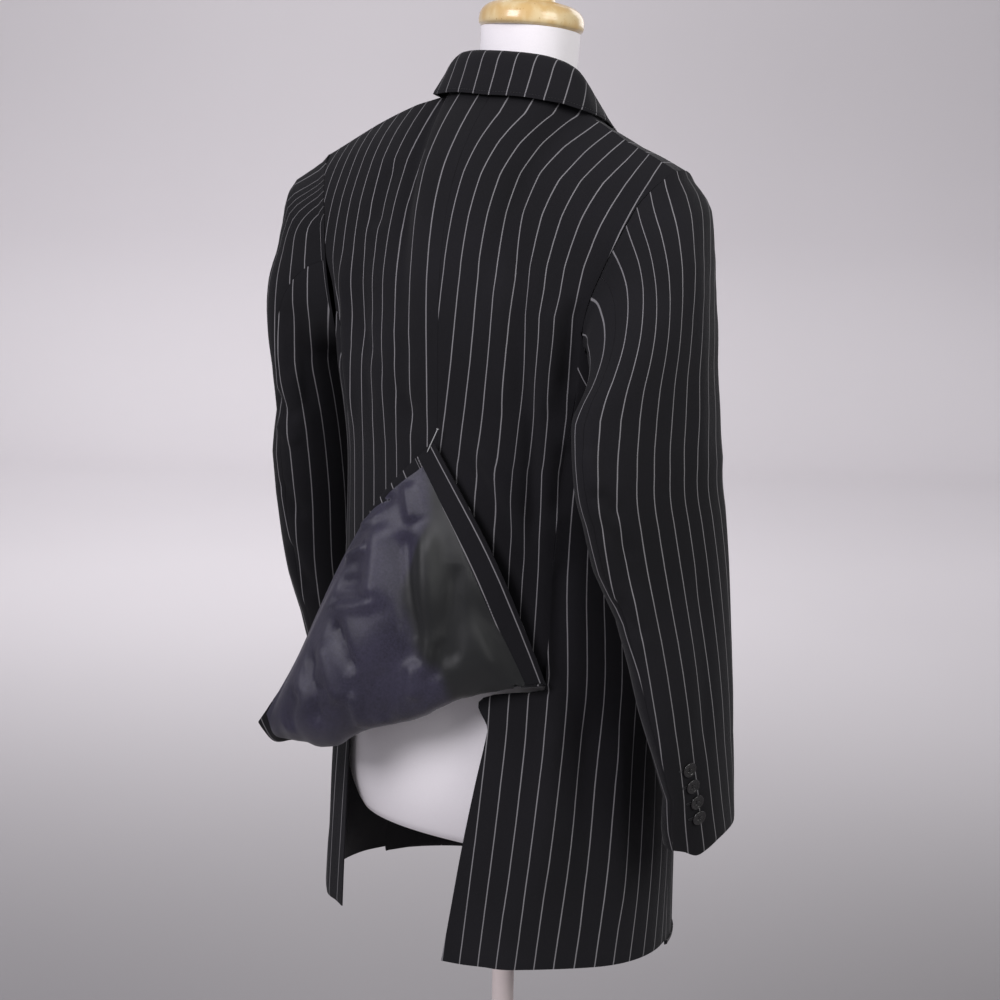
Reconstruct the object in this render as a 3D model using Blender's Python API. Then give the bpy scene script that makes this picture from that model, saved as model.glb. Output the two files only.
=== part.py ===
"""Long pinstripe suit jacket with two side vents on a limbless dress form, its back flap turned up.

Metres, +Z up, the base's underside on z = 0, the form's pole on the Z axis, the chest towards -Y.
"""

import bpy
import numpy as np

# Cloth and joints
CLOTH = 0.0020
LINING = 0.0010
FACING = 0.0012
JOINT = 0.0003

# Levels of the body's rings
HEM = 0.588
VENT_TOP = 0.905
YOKE = 1.215

# Each level of the jacket's outer face: x and y of ten points round it, from the back's centre to
# the wearer's right, the front's centre, and back by the left. The seams lie on points 1, 3, 7, 9.
RING_COLUMNS = ("back", "back_side_r", "side_r", "side_front_r", "front_r",
                "front", "front_l", "side_front_l", "side_l", "back_side_l")
RINGS = (
    (0.588, ((0.040, 0.160), (-0.075, 0.150), (-0.172, 0.062), (-0.185, -0.030), (-0.128, -0.125),
             (0.010, -0.172), (0.140, -0.160), (0.230, -0.085), (0.240, 0.005), (0.178, 0.092))),
    (0.740, ((0.022, 0.156), (-0.098, 0.140), (-0.180, 0.052), (-0.184, -0.035), (-0.125, -0.125),
             (0.008, -0.165), (0.132, -0.150), (0.214, -0.070), (0.223, 0.010), (0.170, 0.094))),
    (0.905, ((0.006, 0.150), (-0.121, 0.118), (-0.184, 0.042), (-0.182, -0.040), (-0.122, -0.125),
             (0.004, -0.158), (0.125, -0.138), (0.196, -0.055), (0.206, 0.015), (0.157, 0.096))),
    (1.020, ((0.002, 0.146), (-0.125, 0.116), (-0.175, 0.040), (-0.176, -0.040), (-0.118, -0.124),
             (0.001, -0.155), (0.118, -0.132), (0.182, -0.050), (0.190, 0.018), (0.146, 0.102))),
    (1.130, ((0.001, 0.145), (-0.134, 0.113), (-0.174, 0.035), (-0.178, -0.042), (-0.120, -0.128),
             (0.000, -0.158), (0.122, -0.132), (0.178, -0.048), (0.184, 0.022), (0.143, 0.106))),
    (1.215, ((0.000, 0.146), (-0.144, 0.108), (-0.190, 0.034), (-0.192, -0.040), (-0.130, -0.132),
             (0.000, -0.163), (0.132, -0.134), (0.194, -0.044), (0.196, 0.028), (0.152, 0.108))),
)

# The back's centre line from the yoke level to the neck, and the neck seam from that centre to
# the shoulder's neck point on the left
BACK_LINE = ((0.000, 0.146, 1.215), (0.000, 0.146, 1.290), (0.000, 0.141, 1.360), (0.000, 0.121, 1.425),
             (0.000, 0.084, 1.478), (0.000, 0.050, 1.511))
NECK_LINE = ((0.000, 0.050, 1.511), (0.034, 0.046, 1.511), (0.064, 0.033, 1.508), (0.084, 0.010, 1.500))
# Shoulder seam, neck point to tip, by side
SHOULDER_R = ((-0.084, 0.010, 1.500), (-0.130, 0.020, 1.480), (-0.175, 0.027, 1.458), (-0.212, 0.030, 1.438))
SHOULDER_L = ((0.084, 0.010, 1.500), (0.135, 0.018, 1.478), (0.187, 0.024, 1.452), (0.232, 0.026, 1.430))
# Armhole, by side: from the tip down the back to the underarm and up the front
ARMHOLE_R = ((-0.212, 0.030, 1.438), (-0.197, 0.064, 1.410), (-0.183, 0.085, 1.370), (-0.172, 0.095, 1.325),
             (-0.166, 0.094, 1.275), (-0.180, 0.068, 1.240), (-0.194, 0.022, 1.229), (-0.193, -0.026, 1.242),
             (-0.185, -0.056, 1.280), (-0.184, -0.062, 1.330), (-0.192, -0.048, 1.385), (-0.206, -0.010, 1.428))
ARMHOLE_L = ((0.232, 0.026, 1.430), (0.214, 0.060, 1.402), (0.196, 0.083, 1.363), (0.184, 0.096, 1.318),
             (0.175, 0.096, 1.270), (0.186, 0.068, 1.238), (0.198, 0.022, 1.228), (0.196, -0.026, 1.240),
             (0.190, -0.056, 1.276), (0.192, -0.062, 1.325), (0.202, -0.048, 1.380), (0.222, -0.012, 1.420))
# Where the back, side and front pieces sample the armhole, shared with the sleeve
BACK_STEPS = np.linspace(4, 0, 8)
SIDE_STEPS = np.linspace(4, 7, 7)
FRONT_STEPS = np.linspace(7, 12, 8)

# Front edge: the break point, and the roll line up to the neck on the left
BREAK = 1.120
OVERLAP = 0.15
UNDERLAY = 0.0034
ROLL_LINE = ((0.008, -0.1625, 1.215), (0.040, -0.146, 1.320), (0.066, -0.100, 1.420),
             (0.081, -0.040, 1.482), (0.084, 0.010, 1.500))

# Collar on the left, from the back's centre to its front end: the stand's lower edge, the fold
# at its top and the fall's lower edge
COLLAR = (
    ((0.000, 0.0494, 1.5116), (0.0000, 0.0400, 1.5510), (0.0000, 0.0660, 1.5065)),
    ((0.034, 0.0454, 1.5116), (0.0310, 0.0360, 1.5500), (0.0410, 0.0610, 1.5065)),
    ((0.063, 0.0318, 1.5090), (0.0565, 0.0235, 1.5460), (0.0770, 0.0450, 1.5020)),
    ((0.082, 0.0095, 1.5045), (0.0730, 0.0040, 1.5350), (0.0985, 0.0160, 1.4975)),
    ((0.082, -0.0200, 1.4945), (0.0730, -0.0260, 1.5080), (0.0995, -0.0200, 1.4873)),
    ((0.082, -0.0450, 1.4780), (0.0730, -0.0510, 1.4830), (0.0995, -0.0520, 1.4662)),
    ((0.079, -0.0660, 1.4640), (0.0720, -0.0720, 1.4640), (0.0960, -0.0790, 1.4450)),
)

# Back flap below the vent tops, by column from the right vent to the left one: the share of the
# width, the lowest point of its fold, the fullest point of its turned-up part and its hem's point
FLAP_COLUMNS = (
    (0.000, (-0.1225, 0.1265, 0.8965), (-0.086, 0.1500, 1.020), (0.0020, 0.1530, 1.150)),
    (0.250, (-0.060, 0.1600, 0.8800), (-0.010, 0.1830, 0.980), (0.0600, 0.1600, 1.090)),
    (0.500, (0.028, 0.1840, 0.8500), (0.064, 0.2020, 0.920), (0.1010, 0.1720, 1.015)),
    (0.750, (0.105, 0.1860, 0.8140), (0.130, 0.2080, 0.850), (0.1470, 0.1860, 0.905)),
    (1.000, (0.160, 0.1500, 0.8040), (0.182, 0.1860, 0.800), (0.1980, 0.2000, 0.8130)),
)
FACING_COLUMNS = 3
HEM_TURN = 0.94
UNDERLAP = 0.050

# Sleeves, by side: level, centre x and y, half width across, half depth, and the oval's turn
SLEEVE_R = (
    (1.205, -0.228, 0.102, 0.041, 0.096, 8),
    (1.140, -0.226, 0.110, 0.043, 0.097, 8),
    (1.060, -0.232, 0.096, 0.045, 0.094, 8),
    (0.960, -0.242, 0.076, 0.043, 0.089, 4),
    (0.850, -0.250, 0.046, 0.037, 0.082, 0),
    (0.738, -0.252, 0.006, 0.031, 0.062, -2),
)
SLEEVE_L = (
    (1.205, 0.2495, 0.014, 0.045, 0.092, 0),
    (1.140, 0.250, 0.000, 0.049, 0.094, 0),
    (1.060, 0.250, -0.014, 0.048, 0.090, 0),
    (0.960, 0.258, -0.036, 0.043, 0.082, 0),
    (0.850, 0.266, -0.072, 0.037, 0.074, 2),
    (0.738, 0.271, -0.110, 0.031, 0.067, 4),
)
SLEEVE_HINGE = (0.168, 1.205)
SLEEVE_HEAD = {"right": 0.003, "left": 0.016}
SLEEVE_START = 0.0006
SLEEVE_CLEAR = 0.0028
HINDARM_COLUMN = 5
INSEAM_COLUMN = 15

# Buttons
CUFF_BUTTON = 0.0150
FRONT_BUTTON = 0.0200
CUFF_BUTTONS = ((0.826, 0.135), (0.8104, 0.133), (0.7948, 0.131), (0.7792, 0.129))
FRONT_BUTTONS = (1.095, 0.975, 0.855)

# Dress form: level, centre x and y, half width, half depth
FORM_RINGS = (
    (0.700, 0.010, 0.002, 0.170, 0.100),
    (0.735, 0.012, 0.003, 0.180, 0.110),
    (0.800, 0.013, 0.004, 0.182, 0.115),
    (0.900, 0.010, 0.004, 0.174, 0.114),
    (1.000, 0.004, 0.002, 0.154, 0.108),
    (1.090, 0.000, 0.000, 0.142, 0.104),
    (1.180, 0.000, 0.000, 0.150, 0.112),
    (1.270, 0.002, 0.002, 0.156, 0.114),
    (1.340, 0.003, 0.010, 0.158, 0.106),
    (1.395, 0.003, 0.016, 0.148, 0.086),
    (1.430, 0.003, 0.018, 0.122, 0.064),
    (1.452, 0.001, 0.014, 0.096, 0.054),
    (1.472, 0.000, 0.002, 0.070, 0.048),
    (1.502, 0.000, -0.010, 0.055, 0.046),
    (1.540, 0.000, -0.017, 0.052, 0.046),
    (1.572, 0.000, -0.020, 0.052, 0.047),
)
CAP_TILT = 8.0

for thing in list(bpy.data.objects):
    bpy.data.objects.remove(thing, do_unlink=True)


# Curves

def smooth(knots, rows, at):
    """Cubic curve through the rows at their knots."""
    knots = np.asarray(knots, float)
    rows = np.asarray(rows, float)
    at = np.atleast_1d(np.asarray(at, float))
    slope = np.gradient(rows, knots, axis=0)
    k = np.clip(np.searchsorted(knots, at, side="right") - 1, 0, len(knots) - 2)
    step = knots[k + 1] - knots[k]
    t = (at - knots[k]) / step
    shape = (-1,) + (1,) * (rows.ndim - 1)
    t, step = t.reshape(shape), step.reshape(shape)
    return ((1 + 2 * t) * (1 - t) ** 2 * rows[k] + t * (1 - t) ** 2 * step * slope[k]
            + t ** 2 * (3 - 2 * t) * rows[k + 1] + t ** 2 * (t - 1) * step * slope[k + 1])


def along(points, shares):
    """Points at shares of the length of a cubic curve through the given points."""
    points = np.asarray(points, float)
    chord = np.concatenate([[0], np.cumsum(np.linalg.norm(np.diff(points, axis=0), axis=1))])
    fine = smooth(chord, points, np.linspace(0, chord[-1], 241))
    run = np.concatenate([[0], np.cumsum(np.linalg.norm(np.diff(fine, axis=0), axis=1))])
    target = np.asarray(shares, float) * run[-1]
    return np.stack([np.interp(target, run, fine[:, i]) for i in range(3)], axis=-1)


def loop_points(points, at):
    """Points of a closed cubic curve, one unit of `at` for each point given."""
    points = np.asarray(points, float)
    n = len(points)
    padded = np.concatenate([points[-3:], points, points[:4]])
    return smooth(np.arange(-3, n + 4), padded, np.mod(np.asarray(at, float), n))


def ring_points(level, at):
    """Outer face of the jacket's body at one level; `at` runs 0 to 10 round it."""
    knots = [row[0] for row in RINGS]
    flat = loop_points(smooth(knots, [row[1] for row in RINGS], level)[0], at)
    return np.concatenate([flat, np.full((len(flat), 1), level)], axis=1)


def ring_normals(level, at):
    """Outward directions of the body's face at one level."""
    at = np.asarray(at, float)
    level = min(max(level, HEM + 0.002), YOKE - 0.002)
    across = ring_points(level, at + 0.02) - ring_points(level, at - 0.02)
    up = ring_points(level + 0.002, at) - ring_points(level - 0.002, at)
    return unit(np.cross(across, up))


def unit(vectors):
    return vectors / np.maximum(np.linalg.norm(vectors, axis=-1, keepdims=True), 1e-12)


def ease(t):
    t = np.clip(t, 0.0, 1.0)
    return t * t * (3 - 2 * t)


# Solids

def grid_normals(grid, closed=False):
    """Directions along the columns' run crossed with the rows' run."""
    if closed:
        across = np.roll(grid, -1, axis=1) - np.roll(grid, 1, axis=1)
    else:
        across = np.gradient(grid, axis=1, edge_order=2)
    down = np.gradient(grid, axis=0, edge_order=2 if len(grid) > 2 else 1)
    return unit(np.cross(across, down))


def solid(name, points, faces, material):
    mesh = bpy.data.meshes.new(name)
    mesh.from_pydata([tuple(p) for p in points], [], [tuple(int(i) for i in f) for f in faces])
    mesh.materials.append(material)
    mesh.update()
    thing = bpy.data.objects.new(name, mesh)
    bpy.context.scene.collection.objects.link(thing)
    return thing


def two(a, b, c, d):
    return [(a, b, c), (a, c, d)]


def between(name, outer, inner, material, closed=False):
    """Closed solid between two grids; the outer one looks along its columns crossed with rows."""
    rows, columns = outer.shape[:2]
    points = np.concatenate([outer.reshape(-1, 3), inner.reshape(-1, 3)])
    shift = rows * columns
    last = columns if closed else columns - 1
    faces = []
    for r in range(rows - 1):
        for c in range(last):
            a, b = r * columns + c, r * columns + (c + 1) % columns
            d, e = a + columns, b + columns
            faces += two(a, b, e, d)
            faces += two(a + shift, d + shift, e + shift, b + shift)
    for c in range(last):
        a, b = c, (c + 1) % columns
        faces += two(a + shift, b + shift, b, a)
        a, b = a + (rows - 1) * columns, b + (rows - 1) * columns
        faces += two(a, b, b + shift, a + shift)
    if not closed:
        for r in range(rows - 1):
            a, d = r * columns, (r + 1) * columns
            faces += two(a, d, d + shift, a + shift)
            b, e = a + columns - 1, d + columns - 1
            faces += two(b, b + shift, e + shift, e)
    return solid(name, points, faces, material)


def wall(name, grid, normals, thick, material, lift=0.0):
    """Cloth with its right side on the grid, `thick` deep against the normals."""
    return between(name, grid + normals * lift, grid + normals * (lift - thick), material)


def lathe(name, profile, material, sides, centre=(0, 0, 0), axis=(0, 0, 1)):
    """Turned solid: (radius, height) pairs from the bottom's centre to the top's centre."""
    rings, points, faces = [], [], []
    for radius, height in profile:
        first = len(points)
        if radius == 0:
            points.append((0.0, 0.0, height))
            rings.append([first])
            continue
        for k in range(sides):
            turn = 2 * np.pi * (k + 0.5) / sides
            points.append((radius * np.cos(turn), radius * np.sin(turn), height))
        rings.append(list(range(first, first + sides)))
    for low, high in zip(rings[:-1], rings[1:]):
        for k in range(sides):
            m = (k + 1) % sides
            if len(low) == 1:
                faces.append((low[0], high[m], high[k]))
            elif len(high) == 1:
                faces.append((low[k], low[m], high[0]))
            else:
                faces += two(low[k], low[m], high[m], high[k])
    w = unit(np.array(axis, float))
    u = unit(np.cross(w, (0.0, 1.0, 0.0) if abs(w[1]) < 0.9 else (1.0, 0.0, 0.0)))
    v = np.cross(w, u)
    return solid(name, np.array(points) @ np.array([u, v, w]) + np.array(centre), faces, material)


def paint(name, colour, roughness, metallic=0.0):
    material = bpy.data.materials.new(name)
    material.use_nodes = True
    shader = material.node_tree.nodes["Principled BSDF"]
    shader.inputs["Base Color"].default_value = (*colour, 1.0)
    shader.inputs["Roughness"].default_value = roughness
    shader.inputs["Metallic"].default_value = metallic
    return material


def pinstripe():
    return paint("pinstripe", (0.0130, 0.0122, 0.0150), 0.85)


def satin():
    return paint("satin_lining", (0.030, 0.028, 0.045), 0.45)


def horn():
    return paint("button_black", (0.010, 0.010, 0.011), 0.25)


def steel():
    return paint("pin_steel", (0.70, 0.70, 0.72), 0.25, 1.0)


def cover():
    return paint("form_cover", (0.76, 0.69, 0.72), 0.80)


def beech():
    return paint("pale_wood", (0.66, 0.50, 0.26), 0.45)


def enamel():
    return paint("pole_enamel", (0.72, 0.62, 0.60), 0.40)


# Borders that pieces share

def side_of(right):
    return -1.0 if right else 1.0


def turn(right, share):
    """Ring position of a share of the way from the back's centre to the front's, by side."""
    return np.asarray(share, float) if right else np.mod(10.0 - np.asarray(share, float), 10.0)


def armhole(right, steps):
    return loop_points(ARMHOLE_R if right else ARMHOLE_L, steps)


def shoulder(right, count=9):
    return along(SHOULDER_R if right else SHOULDER_L, np.linspace(0, 1, count))


def shoulder_normals(right, count=9):
    line = shoulder(right, count)
    run = np.gradient(line, axis=0, edge_order=2)
    look = unit(np.cross(run, (0.0, 1.0, 0.0)))
    return look * np.sign(look[:, 2:3])


def levels_above_vent():
    return np.linspace(YOKE, VENT_TOP, 8)


def trim(grid, first=0.0, last=0.0, top=0.0, bottom=0.0):
    """Moves a grid's borders in by these gaps."""
    grid = grid.copy()
    if first:
        grid[:, 0] += unit(grid[:, 1] - grid[:, 0]) * first
    if last:
        grid[:, -1] += unit(grid[:, -2] - grid[:, -1]) * last
    if top:
        grid[0] += unit(grid[1] - grid[0]) * top
    if bottom:
        grid[-1] += unit(grid[-2] - grid[-1]) * bottom
    return grid


def patch(bottom, top, first, last):
    """Surface between four border curves; its rows go from the top down."""
    run = np.concatenate([[0], np.cumsum(np.linalg.norm(np.diff(last, axis=0), axis=1))])
    w = ease(run / run[-1])[:, None, None]
    c = np.linspace(0, 1, len(bottom))[None, :, None]
    grid = (1 - w) * bottom[None] + w * top[None]
    grid = grid + (1 - c) * (first[:, None] - ((1 - w) * first[0] + w * first[-1]))
    grid = grid + c * (last[:, None] - ((1 - w) * last[0] + w * last[-1]))
    return grid[::-1]


def side_border(right, share, steps):
    """Seam from the yoke level up to the armhole, then the armhole's own points."""
    start = ring_points(YOKE, turn(right, [share]))[0]
    hole = armhole(right, steps)
    return np.concatenate([[start, (start + hole[0]) / 2], hole])


def shares_of(curve):
    run = np.concatenate([[0], np.cumsum(np.linalg.norm(np.diff(curve, axis=0), axis=1))])
    return run / run[-1]


# Back and its turned-up flap

def flap_steps():
    return np.concatenate([np.linspace(0, 0.40, 10)[:-1], np.linspace(0.40, HEM_TURN, 7), [1.0]])


def flap_grid(shares, steps):
    """The flap's right side: rows from the vent tops to the hem; share 0 is the right vent."""
    knots = [row[0] for row in FLAP_COLUMNS]
    fold, full, hem = (smooth(knots, [row[i] for row in FLAP_COLUMNS], shares) for i in (1, 2, 3))
    root = ring_points(VENT_TOP, np.mod(1.0 - 2.0 * np.asarray(shares), 10.0))
    grid = np.empty((len(steps), len(shares), 3))
    for c in range(len(shares)):
        drop = root[c] - fold[c]
        swing = min(0.45 * drop[2], 0.014)
        low = root[c] * 0.85 + fold[c] * 0.15
        low[2] = root[c][2] - 0.60 * drop[2]
        rise = unit(full[c] - fold[c])
        high = fold[c] + rise * swing + np.array([0.0, 0.35 * swing, 0.15 * swing])
        grid[:, c] = along([root[c], low, fold[c], high, full[c], hem[c]], steps)
    return grid


def back_grid(right):
    """The back's right side from the neck to the turned-up hem, columns from the centre out."""
    side = side_border(right, 1.0, BACK_STEPS)
    shares = shares_of(side)
    centre = along(BACK_LINE, shares)
    neck = along(np.array(NECK_LINE) * (side_of(right), 1, 1), np.linspace(0, 1, 4))
    top = np.concatenate([neck[:-1], shoulder(right)])
    columns = len(top)
    share = np.linspace(0, 1, columns)
    bottom = ring_points(YOKE, turn(right, share))
    upper = patch(bottom, top, centre, side)
    middle = np.array([ring_points(z, turn(right, share)) for z in levels_above_vent()[1:]])
    flap = flap_grid(0.5 + 0.5 * side_of(right) * share, flap_steps()[1:])
    return np.concatenate([upper, middle, flap])


def back_faces(right):
    """The back's grid and its normals, with the directions of its seams set."""
    grid = back_grid(right)
    normals = grid_normals(grid)
    upper = len(BACK_STEPS) + 2
    if normals[upper].mean(axis=0)[1] < 0:
        normals = -normals
    seam = levels_above_vent()
    body = upper + len(seam) - 1
    normals[:body, 0, 0] = 0.0
    for r, z in enumerate(seam):
        normals[upper - 1 + r, -1] = ring_normals(z, turn(right, [1.0]))[0]
    normals[upper - 3, -1] = normals[upper - 2, -1] = normals[upper - 1, -1]
    normals[0, 3:] = shoulder_normals(right)
    both = flap_normals()
    middle = both.shape[1] // 2
    normals[body:] = both[1:, middle::-1] if right else both[1:, middle:]
    return grid, unit(normals)


def flap_shares():
    """Shares of the flap's width at the columns of the two backs, from the right vent."""
    columns = 3 + len(shoulder(True))
    return np.linspace(0, 1, 2 * columns - 1)


def flap_normals():
    """Right-side directions over the whole flap, from the vent tops' row down."""
    shares = flap_shares()
    above = np.array([ring_points(z, np.mod(1.0 - 2.0 * shares, 10.0)) for z in levels_above_vent()[-3:-1]])
    grid = np.concatenate([above, flap_grid(shares, flap_steps())])
    normals = grid_normals(grid)[2:]
    return normals if normals[0].mean(axis=0)[1] > 0 else -normals


def build_backs(cloth):
    for right in (True, False):
        grid, normals = back_faces(right)
        grid = trim(grid, first=JOINT / 2, last=JOINT / 2, top=JOINT / 2)
        grid, normals = faced(grid, normals)
        wall("back_right" if right else "back_left", grid, normals, CLOTH, cloth)


def faced(grid, normals):
    """Orders the columns so that columns crossed with rows look along the normals."""
    if (grid_normals(grid) * normals).sum() < 0:
        return grid[:, ::-1], normals[:, ::-1]
    return grid, normals


def inside_piece(name, rows, columns, thick, material):
    """A piece on the flap's wrong side over these rows and columns of the flap."""
    grid = flap_grid(flap_shares(), flap_steps())
    normals = flap_normals()
    piece = grid[rows, columns].copy()
    look = normals[rows, columns]
    piece = trim(piece, first=JOINT / 2, last=JOINT / 2, top=JOINT, bottom=JOINT)
    piece, look = faced(piece, look)
    wall(name, piece, look, thick, material, -CLOTH - JOINT)


def build_flap_inside(cloth, silk):
    """Lining, vent facings and hem turn-up on the flap's wrong side."""
    last = len(flap_shares()) - FACING_COLUMNS
    inside_piece("flap_lining", slice(2, -1), slice(FACING_COLUMNS, last), LINING, silk)
    inside_piece("vent_facing_right", slice(3, None), slice(0, FACING_COLUMNS + 1), FACING, cloth)
    inside_piece("vent_facing_left", slice(3, None), slice(last - 1, None), FACING, cloth)
    inside_piece("flap_hem", slice(-2, None), slice(FACING_COLUMNS, last), FACING, cloth)


# Sides

def side_rows(right):
    shares = np.linspace(1, 3, 7)
    start = ring_points(YOKE, turn(right, shares))
    hole = armhole(right, SIDE_STEPS)
    rows = [hole, (start + hole) / 2]
    looks = [ring_normals(YOKE, turn(right, shares))] * 2
    levels = list(levels_above_vent()) + [0.898, 0.890, 0.850, 0.790, 0.720, 0.650, HEM]
    for z in levels:
        rows.append(ring_points(z, turn(right, shares)))
        looks.append(ring_normals(z, turn(right, shares)))
    return np.array(rows), np.array(looks)


def side_faces(right):
    """A side body with the vent's underlap added behind its seam."""
    grid, normals = side_rows(right)
    grid = trim(grid, first=JOINT / 2, last=JOINT / 2, top=JOINT)
    out, look = [], []
    for row, face in zip(grid, normals):
        z = row[0][2]
        reach = UNDERLAP * float(z < VENT_TOP - 0.009)
        dip = np.array([[0.0050], [0.0046], [0.0036]]) * float(z < VENT_TOP - 0.004)
        step = unit(row[1] - row[0])
        if reach:
            run = reach / np.linalg.norm(ring_points(z, turn(right, [0.5]))[0] - row[0]) * 0.5
            added = ring_points(z, turn(right, [1 - run, 1 - run / 2, 0.994]))
            looks = ring_normals(z, turn(right, [1 - run, 1 - run / 2, 0.994]))
        else:
            added = np.array([row[0], row[0] + step * 0.002, row[0] + step * 0.004])
            looks = np.array([face[0]] * 3)
        added = added - looks * dip
        near = row[0] + step * 0.009
        out.append(np.concatenate([added, [near], row[1:]]))
        look.append(np.concatenate([looks, face[:1], face[1:]]))
    return np.array(out), np.array(look)


def build_sides(cloth):
    for right in (True, False):
        grid, normals = faced(*side_faces(right))
        wall("side_right" if right else "side_left", grid, normals, CLOTH, cloth)


# Fronts and lapels

def edge_share(level):
    """Ring share of the front's edge at a level, from the back's centre."""
    if level >= BREAK:
        rise = (level - BREAK) / (YOKE - BREAK)
        return 5.0 + OVERLAP - (OVERLAP + 0.06) * rise
    corner = float(np.clip((level - HEM) / 0.085, 0, 1))
    return 5.0 + OVERLAP - 0.62 * (1 - np.sqrt(1 - (1 - corner) ** 2))


def front_faces(right):
    """A front's right side and normals; the right front lies under the left one by the centre."""
    seam = side_border(right, 3.0, FRONT_STEPS)
    top = shoulder(right)[::-1]
    columns = len(top)
    bottom = ring_points(YOKE, turn(right, np.linspace(3.0, edge_share(YOKE), columns)))
    roll = np.array(ROLL_LINE) * (side_of(right), 1, 1)
    roll[0] = bottom[-1]
    upper = patch(bottom, top, seam, along(roll, shares_of(seam)))
    levels = np.concatenate([levels_above_vent()[1:], (0.850, 0.790, 0.720, 0.660, 0.625, 0.600, 0.584, HEM)])
    lower = np.array([ring_points(z, turn(right, np.linspace(3.0, edge_share(z), columns))) for z in levels])
    grid = np.concatenate([upper, lower])
    normals = grid_normals(grid)
    count = len(upper)
    if normals[count].mean(axis=0)[1] > 0:
        normals = -normals
    for r, z in enumerate(levels):
        normals[count + r, 0] = ring_normals(z, turn(right, [3.0]))[0]
    for r in (count - 1, count - 2, count - 3):
        normals[r, 0] = ring_normals(YOKE, turn(right, [3.0]))[0]
    normals[0] = shoulder_normals(right)[::-1]
    if right:
        share = np.linspace(0, 1, columns)
        under = ease((share - 0.50) / 0.30)[None, :, None] * ease((1.275 - grid[:, :, 2:3]) / 0.06)
        grid = grid - normals * UNDERLAY * under
    return grid, normals


def build_fronts(cloth):
    for right in (True, False):
        grid, normals = front_faces(right)
        grid, normals = faced(trim(grid, first=JOINT / 2, top=JOINT / 2), normals)
        wall("front_right" if right else "front_left", grid, normals, CLOTH, cloth)


def beside_roll(right, row, reach):
    """A front's points at these distances from its inner edge, on a fractional row."""
    grid, normals = front_faces(right)
    low = int(np.floor(row))
    mix = row - low
    line = (grid[low] * (1 - mix) + grid[low + 1] * mix)[::-1]
    face = (normals[low] * (1 - mix) + normals[low + 1] * mix)[::-1]
    run = np.concatenate([[0], np.cumsum(np.linalg.norm(np.diff(line, axis=0), axis=1))])
    points = np.stack([np.interp(reach, run, line[:, i]) for i in range(3)], axis=-1)
    looks = np.stack([np.interp(reach, run, face[:, i]) for i in range(3)], axis=-1)
    return points, unit(looks)


def build_lapels(cloth):
    rows, columns = 14, 6
    for right in (True, False):
        grid = np.empty((rows, columns, 3))
        look = np.empty((rows, columns, 3))
        for r in range(rows):
            rise = r / (rows - 1)
            width = 0.004 + 0.086 * (1 - (1 - rise) ** 1.6)
            low = 9.2 if right else 11.2
            at = low - (low - 3.1) * rise
            grid[r], look[r] = beside_roll(right, at, np.linspace(0.0008, width, columns))
        grid, look = faced(grid, look)
        wall("lapel_right" if right else "lapel_left", grid, look, CLOTH, cloth, CLOTH + 0.0019)


# Collar

def build_collar(cloth):
    knots = np.arange(len(COLLAR))
    at = np.linspace(0, len(COLLAR) - 1, 15)
    rows = smooth(knots, COLLAR, at)
    lines = []
    for stand, fold, fall in rows:
        inward = unit((stand - fall) * (1, 1, 0))
        high = np.linalg.norm(fold - stand)
        lean = min(0.0042, 0.45 * high)
        lines.append([stand, (stand * 0.5 + fold * 0.5) + inward * 0.0008,
                      fold + inward * lean * 0.9 - (0, 0, lean * 1.1), fold + inward * lean * 0.35,
                      fold - inward * lean * 0.65 - (0, 0, lean * 0.25),
                      fold * 0.86 + fall * 0.14 - inward * lean * 0.9,
                      fold * 0.5 + fall * 0.5 - inward * 0.0022, fall])
    half = np.array(lines)
    other = half[::-1][:-1] * (-1, 1, 1)
    grid = np.concatenate([other, half]).transpose(1, 0, 2)
    normals = grid_normals(grid)
    middle = grid.shape[1] // 2
    if normals[-1, middle][1] < 0:
        normals = -normals
    normals[:, middle, 0] = 0.0
    grid, normals = faced(grid, unit(normals))
    wall("collar", grid, normals, CLOTH, cloth)


# Sleeves

def sleeve_oval(row, right, steps):
    level, x, y, wide, deep, tilt = row
    s = side_of(right)
    at = 2 * np.pi * np.asarray(steps) / 12
    out, back = wide * np.cos(at), deep * np.sin(at)
    c, n = np.cos(np.radians(tilt)), np.sin(np.radians(tilt))
    return np.stack([x + s * (out * c - back * n), y + out * n + back * c, np.full_like(at, level)], axis=-1)


def sleeve_grid(right):
    """A sleeve's right side: rows from the armhole to the cuff, columns from the tip round the back."""
    s = side_of(right)
    steps = np.concatenate([BACK_STEPS[::-1], SIDE_STEPS[1:], FRONT_STEPS[1:-1]])
    hole = armhole(right, steps)
    hinge_x, hinge_z = SLEEVE_HINGE
    table = SLEEVE_R if right else SLEEVE_L
    oval = sleeve_oval(table[0], right, steps)
    rise, out = hole[:, 2] - hinge_z, s * hole[:, 0] - hinge_x
    reach = s * oval[:, 0] - hinge_x
    full = np.maximum(0, np.cos(2 * np.pi * steps / 12)) ** 0.5
    under = np.maximum(0, -np.cos(2 * np.pi * steps / 12))
    head = SLEEVE_HEAD["right" if right else "left"]
    rows = []
    for angle in np.radians([0, 5, 12, 20, 30, 42, 56, 72]):
        b = np.sin(angle) ** (1.3 - 0.55 * full)
        radius = (1 - b) * rise + b * reach + head * full * np.sin(2 * angle) ** 0.6 * np.cos(angle)
        side = (1 - b) * out
        clear = SLEEVE_START + SLEEVE_CLEAR * under * np.sin(2 * angle)
        x = s * (hinge_x + radius * np.sin(angle) + side * np.cos(angle) + clear)
        z = hinge_z + radius * np.cos(angle) - side * np.sin(angle)
        y = (1 - b) * hole[:, 1] + b * oval[:, 1]
        rows.append(np.stack([x, y, z], axis=-1))
    knots = [-row[0] for row in table]
    for z in np.linspace(table[0][0], table[-1][0], 13):
        row = smooth(knots, table, -z)[0]
        rows.append(sleeve_oval(row, right, steps))
    return np.array(rows)


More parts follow.
